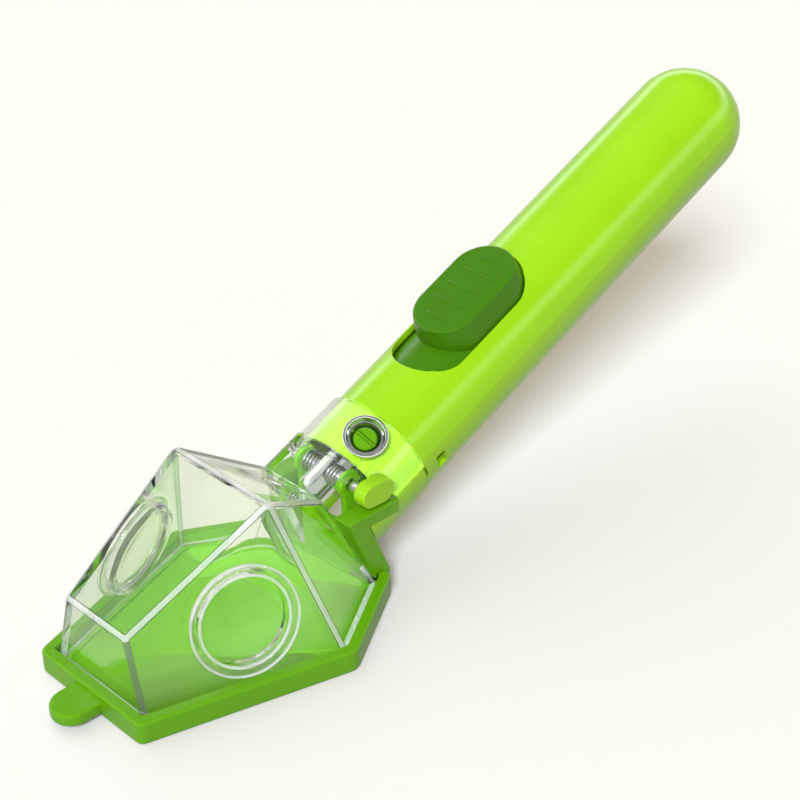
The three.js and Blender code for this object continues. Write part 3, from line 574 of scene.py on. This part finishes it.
@dataclass
class Softened:
    """A CAD node's own form, cleaned and with its long edges rounded off as a mould or tool leaves them."""

    node: str
    edge: float = 0.22 * MM
    shortest: float = 0.6 * MM
    turn: float = 28.0
    flat: float = 0.6
    rounds: int = 2
    merge: float = 2e-6

    def weight(self, edge: bmesh.types.BMEdge) -> float:
        """Tells how far an edge is rounded.

        Args:
            edge: An edge that isn't smooth.

        Returns:
            Its share of the full rounding, from 0 to 1.
        """
        return 0.0 if edge.calc_length() < self.shortest else 1.0

    def trim(self, bm: bmesh.types.BMesh) -> None:
        """Changes the cleaned form before its edges are weighed. The plain form is left as it is.

        Args:
            bm: The cleaned form.
        """

    def mesh(self, name: str) -> bpy.types.Mesh:
        """Makes the cleaned mesh, with a bevel weight on each edge to be rounded.

        Args:
            name: The mesh's name.

        Returns:
            The new mesh.
        """
        bm = bmesh.new()
        bm.from_mesh(frame["nodes"][self.node].data)
        bmesh.ops.remove_doubles(bm, verts=bm.verts, dist=self.merge)
        bmesh.ops.dissolve_limit(bm, angle_limit=math.radians(self.flat), verts=bm.verts, edges=bm.edges)
        self.trim(bm)
        smoothed(bm, self.turn)
        layer = bm.edges.layers.float.new("bevel_weight_edge")
        for edge in bm.edges:
            weight = 0.0 if edge.smooth else self.weight(edge)
            if weight > 0:
                edge[layer] = weight
                edge.smooth = True
        return meshed(bm, name)

    def build(self, name: str, kinds: tuple[Finish, ...], body: Body, slot: Slot) -> bpy.types.Object:
        """Adds the softened form as a piece.

        Args:
            name: The piece's name.
            kinds: Its finishes, in the order of its faces' material numbers.
            body: The body it rides on.
            slot: The record's material slot. It is not used.

        Returns:
            The new object.
        """
        obj = workshop.piece(name, self.mesh(name), kinds, body, (self.node,))
        bevel = obj.modifiers.new("rounding", "BEVEL")
        bevel.limit_method = "WEIGHT"
        bevel.width = self.edge
        bevel.segments = self.rounds
        bevel.use_clamp_overlap = False
        obj.modifiers.new("even_faces", "WEIGHTED_NORMAL").keep_sharp = True
        return obj


@dataclass
class CoverForm(Softened):
    """The clear cover: its long outer corners are rounded, and their bevel strips are painted as bright
    bands of painted highlight between two dark lines of painted shade.
    """

    edge: float = 0.15 * MM
    long: float = 7.0 * MM
    broad: float = 70.0 * MM * MM
    gate_half: float = 7.2 * MM
    corner: float = 0.85 * MM
    corner_steps: int = 6
    rim_top: float = 3.6 * MM
    facing_down: float = -0.95
    highlight_number: int = 1
    painted_shade_number: int = 2

    def is_corner(self, edge: bmesh.types.BMEdge) -> bool:
        """Tells whether an edge is one of the chamber's outer corners: above the rim, between broad faces.

        Args:
            edge: The edge.

        Returns:
            True for an outer corner.
        """
        if not edge.is_manifold or not edge.is_convex or edge.calc_length() < self.long:
            return False
        if max(vert.co.z for vert in edge.verts) < self.rim_top:
            return False
        if min(abs(vert.co.x) for vert in edge.verts) < self.gate_half:
            return False
        if min(face.calc_area() for face in edge.link_faces) < self.broad:
            return False
        return edge.calc_face_angle(0.0) > math.radians(self.turn)

    def weight(self, edge: bmesh.types.BMEdge) -> float:
        """Tells how far an edge is rounded. The rim's edges stay sharp.

        Args:
            edge: An edge that isn't smooth.

        Returns:
            Its share of the full rounding, from 0 to 1.
        """
        return 0.0 if max(vert.co.z for vert in edge.verts) < self.rim_top else super().weight(edge)

    def trim(self, bm: bmesh.types.BMesh) -> None:
        """Rounds the outer corners, and gives them and the rim's underside the edges' finishes: painted
        highlight on the rim's underside and on the middle of each corner, painted shade on each corner's
        outer strips.

        Args:
            bm: The cleaned form.
        """
        for face in bm.faces:
            if face.normal.z < self.facing_down and face.calc_center_median().z < self.rim_top:
                face.material_index = self.highlight_number
        bmesh.ops.bevel(
            bm,
            geom=[edge for edge in bm.edges if self.is_corner(edge)],
            offset=self.corner,
            offset_type="OFFSET",
            segments=self.corner_steps,
            profile=ROUND,
            affect="EDGES",
            clamp_overlap=False,
            material=self.painted_shade_number,
        )
        bmesh.ops.connect_verts_concave(bm, faces=bm.faces[:])
        # Every bevel strip starts in painted shade; strips with only such strips beside them become painted
        # highlight, so each corner is a bright band between two dark lines.
        painted_shade_strips = {face for face in bm.faces if face.material_index == self.painted_shade_number}
        for face in painted_shade_strips:
            beside = {other for edge in face.edges for other in edge.link_faces}
            if beside <= painted_shade_strips:
                face.material_index = self.highlight_number


@dataclass
class ShellForm(Softened):
    """A half of the grip: the seam is nearly closed, and only edges well above it are rounded."""

    shortest: float = 0.12 * MM
    rounded_from: float = 2.0 * MM
    seam_bottom: float = 1.2 * MM
    near: float = 0.05 * MM
    lift: float = 0.25 * MM

    def weight(self, edge: bmesh.types.BMEdge) -> float:
        """Tells how far an edge is rounded: not at all unless both its ends lie well above the seam.

        Args:
            edge: An edge that isn't smooth.

        Returns:
            Its share of the full rounding, from 0 to 1.
        """
        if edge.calc_length() < self.shortest:
            return 0.0
        return 1.0 if min(grip_axes.height(vert.co) for vert in edge.verts) > self.rounded_from else 0.0

    def trim(self, bm: bmesh.types.BMesh) -> None:
        """Lifts the lower half's upper faces until only a hairline is open.

        Args:
            bm: The cleaned form.
        """
        for vert in bm.verts:
            if abs(grip_axes.height(vert.co) - self.seam_bottom) < self.near:
                vert.co += grip_axes.up * self.lift


@dataclass
class TurnedNode:
    """Where a turned CAD node lies: its axis, its extent along it, and its radius."""

    node: str
    outward: Vector
    digits: int = 6

    def __post_init__(self) -> None:
        """Finds the axis from the spread of the node's corners."""
        vertices = frame["nodes"][self.node].data.vertices
        corners = {tuple(round(value, self.digits) for value in vertex.co) for vertex in vertices}
        points = np.array(sorted(corners))
        middle = points.mean(0)
        sizes, axes = np.linalg.eigh(np.cov((points - middle).T))
        odd = 0 if sizes[1] - sizes[0] > sizes[2] - sizes[1] else 2
        self.middle = Vector(middle)
        self.axis = Vector(axes[:, odd]).normalized()
        if self.axis.dot(self.outward) < 0:
            self.axis.negate()
        along = [(Vector(point) - self.middle).dot(self.axis) for point in points]
        self.low = min(along)
        self.high = max(along)
        across = [(Vector(point) - self.middle).cross(self.axis).length for point in points]
        self.radius = max(across)

    @property
    def matrix(self) -> Matrix:
        """The move from a shape spun about Z at the origin to the node's place."""
        turn = Vector((0, 0, 1)).rotation_difference(self.axis).to_matrix().to_4x4()
        return Matrix.Translation(self.middle) @ turn


# Sub-assemblies


@dataclass
class Chamber:
    """The clear cover with its two magnifying windows."""

    segments: int = 96
    lens_rings: int = 14
    lens_edge: float = 1.3 * MM
    bead_wall: float = 0.6 * MM
    bead_height: float = 0.42 * MM
    groove_width: float = 1.1 * MM
    bead_steps: int = 6
    flange: float = 0.9 * MM
    flange_reach: float = 1.5 * MM
    barrel_wall: float = 0.9 * MM
    crest_margin: float = 0.01 * MM
    facing_out: float = 0.999
    bead_highlight_number: int = 1
    lens_smooth: float = 50.0
    ring_smooth: float = 40.0

    def lens(self, side: Side) -> None:
        """Builds one domed lens.

        Args:
            side: The side of the chamber it sits in.
        """
        node = f"lens_{side.word}"
        place = TurnedNode(node, Vector((side.value, 0, 0)))
        bulge = (place.high - place.low - self.lens_edge) / 2
        shares = [step / self.lens_rings for step in range(self.lens_rings + 1)]
        dome = [(place.radius * s, self.lens_edge / 2 + bulge * (1 - s * s)) for s in shares]
        profile = dome + [(radius, -height) for radius, height in reversed(dome)]
        bm = spun(profile, self.segments, False)
        bm.transform(place.matrix)
        smoothed(bm, self.lens_smooth)
        workshop.piece(f"{node}_dome", meshed(bm, node), (LENS,), Body.HANDLE, (node,))

    def ring_profile(self, place: TurnedNode) -> list[tuple[float, float]]:
        """Draws a window ring's section: a barrel, and a flange with two beads and a groove between them.

        Args:
            place: Where the ring lies.

        Returns:
            Points as (radius, height), closed.
        """
        outer = place.radius
        top = place.high
        flange = top - self.flange
        barrel_outer = outer - self.flange_reach
        barrel_inner = barrel_outer - self.barrel_wall
        points = [
            (barrel_inner, place.low),
            (barrel_outer, place.low),
            (barrel_outer, flange),
            (outer, flange),
        ]
        beads = [(outer, outer - self.bead_wall), (outer - self.bead_wall - self.groove_width, barrel_inner)]
        for start, end in beads:
            for step in range(self.bead_steps + 1):
                angle = math.pi * step / self.bead_steps
                middle = (start + end) / 2
                half = (start - end) / 2
                height = top - self.bead_height + self.bead_height * math.sin(angle)
                points.append((middle + half * math.cos(angle), height))
        return points

    def ring(self, side: Side) -> None:
        """Builds one window ring.

        Args:
            side: The side of the chamber it sits in.
        """
        node = f"lens_ring_{side.word}"
        place = TurnedNode(node, Vector((side.value, 0, 0)))
        bm = spun(self.ring_profile(place), self.segments, True)
        # The bead crests get the painted highlight finish.
        crest = place.high - self.bead_height - self.crest_margin
        for face in bm.faces:
            if face.calc_center_median().z > crest and face.normal.z < self.facing_out:
                face.material_index = self.bead_highlight_number
        bm.transform(place.matrix)
        smoothed(bm, self.ring_smooth)
        workshop.piece(f"{node}_bead", meshed(bm, node), (CLEAR, EDGE_HIGHLIGHT), Body.HANDLE, (node,))

    def build(self) -> None:
        """Builds the cover, the lenses and their rings."""
        kinds = (CLEAR, EDGE_HIGHLIGHT, EDGE_PAINTED_SHADE)
        CoverForm("clear_cover").build("cover_moulding", kinds, Body.HANDLE, Slot.CLEAR)
        for side in Side:
            self.lens(side)
            self.ring(side)


@dataclass
class TrayDoor:
    """The hinged tray with its cam pin."""

    edge: float = 0.2 * MM
    turn: float = 50.0
    pin_edge: float = 0.1 * MM

    def build(self) -> None:
        """Builds the tray and the pin that works it."""
        tray = Softened("tray", edge=self.edge, turn=self.turn)
        tray.build("tray_moulding", (GREEN,), Body.TRAY, Slot.GREEN)
        Softened("cam_pin", edge=self.pin_edge).build("cam_pin_wire", (STEEL,), Body.TRAY, Slot.STEEL)


@dataclass
class Grip:
    """The round grip: its two shells, the yoke in its mouth and the screws that close it."""

    edge: float = 0.25 * MM
    screw_edge: float = 0.1 * MM
    screws: int = 2

    def build(self) -> None:
        """Builds the shells, the yoke and the screws."""
        for half in ("upper", "lower"):
            node = f"handle_{half}_shell"
            shell = ShellForm(node, edge=self.edge)
            shell.build(f"{half}_shell_moulding", (LIME,), Body.HANDLE, Slot.LIME)
        Softened("yoke", edge=self.edge).build("yoke_moulding", (GREEN,), Body.HANDLE, Slot.GREEN)
        for number in range(1, self.screws + 1):
            node = f"handle_screw_{number}"
            screw = Softened(node, edge=self.screw_edge)
            screw.build(f"{node}_metal", (STEEL,), Body.HANDLE, Slot.STEEL)


@dataclass
class ThumbSlide:
    """The thumb button, its carriage, the drive rod and the screw that joins them."""

    edge: float = 0.22 * MM
    rod_edge: float = 0.15 * MM
    screw_edge: float = 0.1 * MM
    half_width: float = 7.7 * MM
    front: float = 22.2 * MM
    rear: float = 48.4 * MM
    top: float = 15.3 * MM
    draft: float = 0.6 * MM
    seat_radius: float = 11.2 * MM
    shoulder: float = 11.9 * MM
    rounding: float = 0.55 * MM
    rounding_steps: int = 5
    corner_steps: int = 72
    ridge_pitch: float = 4.3 * MM
    ridge_halves: tuple[float, ...] = (2.6 * MM, 4.3 * MM, 4.3 * MM, 4.3 * MM, 2.6 * MM)
    ridge_radius: float = 0.3 * MM
    ridge_sunk: float = 0.06 * MM
    ridge_around: int = 16
    ridge_rings: int = 10
    smooth: float = 40.0

    def stretched(self, verts: list[bmesh.types.BMVert], axis: int, low: float, high: float) -> None:
        """Pulls a round form's two halves apart along an axis.

        Args:
            verts: The form's vertices.
            axis: The axis's number.
            low: How far the lower half moves.
            high: How far the upper half moves.
        """
        for vert in verts:
            vert.co[axis] += low if vert.co[axis] < -IN_PLANE else high

    def ridge(self, bm: bmesh.types.BMesh, half: float, station: float) -> None:
        """Adds one grip ridge, a bar with round ends half sunk in the button's top.

        Args:
            bm: The button's bmesh.
            half: Half the ridge's length.
            station: Where it lies along the grip.
        """
        made = bmesh.ops.create_uvsphere(
            bm, u_segments=self.ridge_around, v_segments=self.ridge_rings, radius=self.ridge_radius
        )["verts"]
        reach = half - self.ridge_radius
        self.stretched(made, 0, -reach, reach)
        bmesh.ops.translate(bm, verts=made, vec=(0, station, self.top - self.ridge_sunk))

    def button(self) -> None:
        """Builds the button: a tapered block with round ends, a rounded top edge and five grip ridges."""
        bm = bmesh.new()
        ring = bmesh.ops.create_circle(
            bm, cap_ends=True, segments=self.corner_steps, radius=self.half_width
        )["verts"]
        faces = bm.faces[:]
        levels = [(1.0, self.shoulder), (1 - self.draft / self.half_width, self.top)]
        for share, height in levels:
            made = bmesh.ops.extrude_face_region(bm, geom=faces)["geom"]
            verts = [item for item in made if isinstance(item, bmesh.types.BMVert)]
            faces = [item for item in made if isinstance(item, bmesh.types.BMFace)]
            for vert in verts:
                vert.co.x *= share
                vert.co.y *= share
                vert.co.z = height
        bmesh.ops.bevel(
            bm,
            geom=list({edge for face in faces for edge in face.edges}),
            offset=self.rounding,
            offset_type="OFFSET",
            segments=self.rounding_steps,
            profile=ROUND,
            affect="EDGES",
            material=-1,
        )
        for vert in ring:
            vert.co.z = math.sqrt(self.seat_radius**2 - vert.co.x**2)
        self.stretched(bm.verts[:], 1, self.front + self.half_width, self.rear - self.half_width)
        bmesh.ops.recalc_face_normals(bm, faces=bm.faces)
        middle = (self.front + self.rear) / 2
        for number, half in enumerate(self.ridge_halves):
            offset = number - (len(self.ridge_halves) - 1) / 2
            self.ridge(bm, half, middle + offset * self.ridge_pitch)
        bm.transform(grip_axes.matrix)
        smoothed(bm, self.smooth)
        mesh = meshed(bm, "thumb_button")
        obj = workshop.piece(
            "thumb_button_moulding", mesh, (DEEP_GREEN,), Body.SLIDER, ("thumb_button",)
        )
        obj.modifiers.new("flat_top", "WEIGHTED_NORMAL").keep_sharp = True

    def build(self) -> None:
        """Builds the slide's pieces."""
        self.button()
        carriage = Softened("slider_carriage", edge=self.edge)
        carriage.build("carriage_moulding", (DEEP_GREEN,), Body.SLIDER, Slot.DEEP_GREEN)
        rod = Softened("drive_rod", edge=self.rod_edge)
        rod.build("drive_rod_moulding", (WHITE,), Body.SLIDER, Slot.WHITE)
        screw = Softened("slide_screw", edge=self.screw_edge)
        screw.build("slide_screw_metal", (STEEL,), Body.SLIDER, Slot.STEEL)


@dataclass
class Hinge:
    """The hinge pin and the two return springs on it."""

    wire: float = 0.2 * MM
    coil_radius: float = 2.0 * MM
    first_side: float = 1.25 * MM
    last_side: float = 4.85 * MM
    curls: int = 4
    front_leg: float = 5.5 * MM
    pin_behind: float = 4.0 * MM
    pin_below: float = 4.6 * MM
    over_pin: float = 1.4 * MM
    past_pin: float = 1.2 * MM
    points_per_turn: int = 40
    leg_points: int = 6
    wire_steps: int = 3
    wire_smooth: float = 60.0
    pin_edge: float = 0.1 * MM

    def route(self, side: Side) -> list[Vector]:
        """Draws the centre line of a spring.

        Args:
            side: The side of the hinge it sits on.

        Returns:
            Points in the row frame.
        """
        reach = math.hypot(self.pin_behind, self.pin_below)
        lean = math.asin((self.coil_radius - self.over_pin) / reach)
        down = -lean - math.atan2(self.pin_below, self.pin_behind)
        sweep = -down + 2 * math.pi * self.curls
        steps = round(self.points_per_turn * sweep / (2 * math.pi))
        points = []
        for step in range(self.leg_points):
            share = 1 - step / self.leg_points
            points.append((self.first_side, -self.front_leg * share, self.coil_radius))
        for step in range(steps + 1):
            turn = sweep * step / steps
            angle = math.pi / 2 - turn
            x = self.first_side + (self.last_side - self.first_side) * turn / sweep
            points.append((x, self.coil_radius * math.cos(angle), self.coil_radius * math.sin(angle)))
        last = points[-1]
        for step in range(1, self.leg_points + 1):
            after = (reach + self.past_pin) * step / self.leg_points
            points.append((last[0], last[1] + after * math.cos(down), last[2] + after * math.sin(down)))
        middle = grip_axes.hinge
        across = Vector((side.value, 0, 0))
        return [middle + across * x + grip_axes.along * s + grip_axes.up * h for x, s, h in points]

    def spring(self, side: Side) -> None:
        """Builds one spring of round wire.

        Args:
            side: The side of the hinge it sits on.
        """
        node = f"torsion_spring_{side.word}"
        route = self.route(side)
        curve = bpy.data.curves.new(node, "CURVE")
        curve.dimensions = "3D"
        curve.bevel_depth = self.wire
        curve.bevel_resolution = self.wire_steps
        curve.use_fill_caps = True
        line = curve.splines.new("POLY")
        line.points.add(len(route) - 1)
        for point, place in zip(line.points, route):
            point.co = (*place, 1.0)
        holder = bpy.data.objects.new(node, curve)
        bpy.context.scene.collection.objects.link(holder)
        bpy.context.view_layer.update()
        shown = holder.evaluated_get(bpy.context.evaluated_depsgraph_get())
        mesh = bpy.data.meshes.new_from_object(shown)
        bpy.data.objects.remove(holder)
        bpy.data.curves.remove(curve)
        bm = bmesh.new()
        bm.from_mesh(mesh)
        bmesh.ops.remove_doubles(bm, verts=bm.verts, dist=SAME_PLACE)
        bmesh.ops.recalc_face_normals(bm, faces=bm.faces)
        smoothed(bm, self.wire_smooth)
        workshop.piece(f"{node}_wire", meshed(bm, node), (STEEL,), Body.HANDLE, (node,))

    def build(self) -> None:
        """Builds the pin and the springs."""
        Softened("hinge_pin", edge=self.pin_edge).build("hinge_pin_wire", (STEEL,), Body.HANDLE, Slot.STEEL)
        for side in Side:
            self.spring(side)


@dataclass
class SunkScrew(Softened):
    """The saddle's screw, its head drawn in and sunk well below its washer's lip."""

    edge: float = 0.1 * MM
    shortest: float = 0.3 * MM
    head: float = 1.05 * MM
    draw_in: float = 0.96
    sink: float = 0.3 * MM

    def trim(self, bm: bmesh.types.BMesh) -> None:
        """Draws the head in and sinks it.

        Args:
            bm: The cleaned form.
        """
        place = TurnedNode(self.node, Vector((0, 0, 1)))
        for vert in bm.verts:
            arm = vert.co - place.middle
            along = arm.dot(place.axis)
            if along > place.high - self.head:
                across = arm - place.axis * along
                vert.co = place.middle + place.axis * (along - self.sink) + across * self.draw_in


@dataclass
class SaddleFastener:
    """The slotted screw of the saddle, in its plated cup washer."""

    segments: int = 96
    lip: float = 0.34 * MM
    flange: float = 0.9 * MM
    wall: float = 0.35 * MM
    mouth: float = 3.78 * MM
    throat: float = 2.95 * MM
    bore: float = 2.75 * MM
    hole: float = 1.5 * MM
    lip_steps: int = 14
    lip_from: float = -60.0
    lip_turn: float = 210.0
    mouth_depth: float = 0.5
    throat_depth: float = 1.7
    smooth: float = 35.0

    def washer(self) -> None:
        """Builds the washer: a rolled lip, a funnel below it and a cup with a hole in its floor."""
        place = TurnedNode("cup_washer", Vector((0, 0, 1)))
        top = place.high
        under = top - self.flange
        centre = place.radius - self.lip
        profile = [
            (self.hole, place.low),
            (self.bore + self.wall, place.low),
            (self.bore + self.wall, under),
            (centre, under),
        ]
        for step in range(self.lip_steps + 1):
            angle = math.radians(self.lip_from + self.lip_turn * step / self.lip_steps)
            rise = self.lip * math.sin(angle)
            profile.append((centre + self.lip * math.cos(angle), top - self.lip + rise))
        profile += [
            (self.mouth, top - self.mouth_depth * self.flange),
            (self.throat, top - self.throat_depth * self.flange),
            (self.bore, place.low + 2 * self.wall),
            (self.bore - self.wall, place.low + self.wall),
            (self.hole, place.low + self.wall),
        ]
        bm = spun(profile, self.segments, True)
        bm.transform(place.matrix)
        smoothed(bm, self.smooth)
        mesh = meshed(bm, "cup_washer")
        workshop.piece("cup_washer_metal", mesh, (CHROME,), Body.HANDLE, ("cup_washer",))

    def build(self) -> None:
        """Builds the washer and its screw."""
        self.washer()
        SunkScrew("cover_screw").build("cover_screw_moulding", (GREEN,), Body.HANDLE, Slot.GREEN)


# Studio


@dataclass(frozen=True)
class Lamp:
    """A broad, far lamp that gloss doesn't show: where it stands, and its light on a level surface."""

    name: str
    toward: Point
    level: Colour
    spread: float

    def build(self) -> None:
        """Adds the lamp to the scene."""
        toward = Vector(self.toward).normalized()
        peak = max(self.level)
        data = bpy.data.lights.new(self.name, "SUN")
        data.energy = math.pi * peak / toward.z
        data.color = [channel / peak for channel in self.level]
        data.angle = math.radians(self.spread)
        lamp = bpy.data.objects.new(self.name, data)
        lamp.rotation_euler = toward.to_track_quat("Z", "Y").to_euler()
        lamp.visible_glossy = False
        bpy.context.scene.collection.objects.link(lamp)


@dataclass
class Studio:
    """The camera, lamps, world and pale floor."""

    azimuth: float = 44.667
    elevation: float = 31.558
    distance: float = 392.575 * MM
    target: Point = (-23.646 * MM, 17.096 * MM, 10.0 * MM)
    lens: float = 79.11
    sensor: float = 36.0
    backdrop: Colour = linear(254, 253, 246)
    fill: Colour = (0.32, 0.27, 0.13)
    fill_lean: float = -0.5
    lamps: tuple[Lamp, ...] = (
        Lamp("front_lamp", (0.7, -0.95, 1.0), (0.54, 0.58, 0.67), 21.0),
        Lamp("left_lamp", (-1.0, 0.1, 1.0), (0.14, 0.15, 0.2), 65.0),
    )
    bounce: Colour = (0.35, 0.33, 0.28)
    mirrored: Colour = (0.75, 0.73, 0.64)
    gloss_bands: tuple[tuple[float, float], ...] = (
        (0.0, 0.5),
        (0.2, 0.6),
        (0.28, 2.8),
        (0.42, 2.8),
        (0.48, 0.15),
        (0.72, 0.08),
        (0.9, 0.3),
        (1.0, 0.3),
    )
    floor_half: float = 4.0
    grain_scale: float = 40.0
    grain_detail: float = 2.0
    grain_dark: float = 0.996
    clip_start: float = 0.01

    def camera(self) -> None:
        """Adds the camera, which looks from the object's front right."""
        turn = math.radians(self.azimuth)
        lift = math.radians(self.elevation)
        right = Vector((math.cos(turn), math.sin(turn), 0))
        back = Vector((math.sin(turn) * math.cos(lift), -math.cos(turn) * math.cos(lift), math.sin(lift)))
        up = back.cross(right)
        data = bpy.data.cameras.new("camera")
        data.lens = self.lens
        data.sensor_width = self.sensor
        data.clip_start = self.clip_start
        camera = bpy.data.objects.new("camera", data)
        basis = Matrix((right, up, back)).transposed().to_4x4()
        camera.matrix_world = Matrix.Translation(Vector(self.target) + back * self.distance) @ basis
        bpy.context.scene.collection.objects.link(camera)
        bpy.context.scene.camera = camera

    def floor(self) -> None:
        """Adds the floor, with a barely seen grain. It throws only part of its light back on the object."""
        bm = bmesh.new()
        bmesh.ops.create_grid(bm, x_segments=1, y_segments=1, size=self.floor_half)
        floor = bpy.data.objects.new("floor", meshed(bm, "floor"))
        material = bpy.data.materials.new("pale_paper")
        graph = Graph(material, "ShaderNodeOutputMaterial")
        place = graph.add("ShaderNodeTexCoord").outputs["Object"]
        grain = graph.noise(place, self.grain_scale, self.grain_detail)
        tone = graph.blend(grain, shaded(self.backdrop, self.grain_dark), shaded(self.backdrop, 1.0))
        path = graph.add("ShaderNodeLightPath").outputs
        gloss = {0: path["Is Glossy Ray"], 1: path["Is Transmission Ray"]}
        gloss = graph.add("ShaderNodeMath", gloss, operation="SUBTRACT").outputs[0]
        tone = graph.blend(gloss, tone, (*self.mirrored, 1.0))
        tone = graph.blend(path["Diffuse Depth"], tone, (*self.bounce, 1.0))
        graph.close(graph.add("ShaderNodeBsdfDiffuse", {"Color": tone}).outputs[0])
        floor.data.materials.append(material)
        bpy.context.scene.collection.objects.link(floor)

    def world(self) -> None:
        """Makes the world: a warm fill, stronger on the left, the backdrop's colour, and bands for gloss."""
        world = bpy.data.worlds.new("studio")
        bpy.context.scene.world = world
        graph = Graph(world, "ShaderNodeOutputWorld")
        direction = graph.add("ShaderNodeTexCoord").outputs["Generated"]
        parts = graph.add("ShaderNodeSeparateXYZ", {0: direction}).outputs
        path = graph.add("ShaderNodeLightPath").outputs
        ramp = graph.add("ShaderNodeValToRGB", {0: parts["Z"]})
        stops = ramp.color_ramp.elements
        stops.remove(stops[1])
        for number, (at, level) in enumerate(self.gloss_bands):
            stop = stops[0] if number == 0 else stops.new(at)
            stop.position = at
            stop.color = (level, level, level, 1.0)
        pale = (*self.backdrop, 1.0)
        lean = {0: parts["X"], 1: self.fill_lean, 2: 1.0}
        lean = graph.add("ShaderNodeMath", lean, operation="MULTIPLY_ADD").outputs[0]
        fill = {0: self.fill, "Scale": lean}
        fill = graph.add("ShaderNodeVectorMath", fill, operation="SCALE").outputs[0]
        seen = graph.blend(path["Is Glossy Ray"], fill, ramp.outputs[0])
        seen = graph.blend(path["Is Transmission Ray"], seen, pale)
        seen = graph.blend(path["Is Camera Ray"], seen, pale)
        seen = graph.blend(path["Diffuse Depth"], seen, fill)
        graph.close(graph.add("ShaderNodeBackground", {"Color": seen}).outputs[0])

    def build(self) -> None:
        """Sets up the studio."""
        self.camera()
        for lamp in self.lamps:
            lamp.build()
        self.floor()
        self.world()
        bpy.context.scene.view_settings.view_transform = "Standard"


def main() -> None:
    """Builds the studio and every sub-assembly."""
    logging.basicConfig(level=logging.INFO, format="%(message)s")
    for part in (Studio(), Chamber(), TrayDoor(), Grip(), ThumbSlide(), Hinge(), SaddleFastener()):
        part.build()
        log.info("built %s", type(part).__name__)


if __name__ == "__main__":
    main()
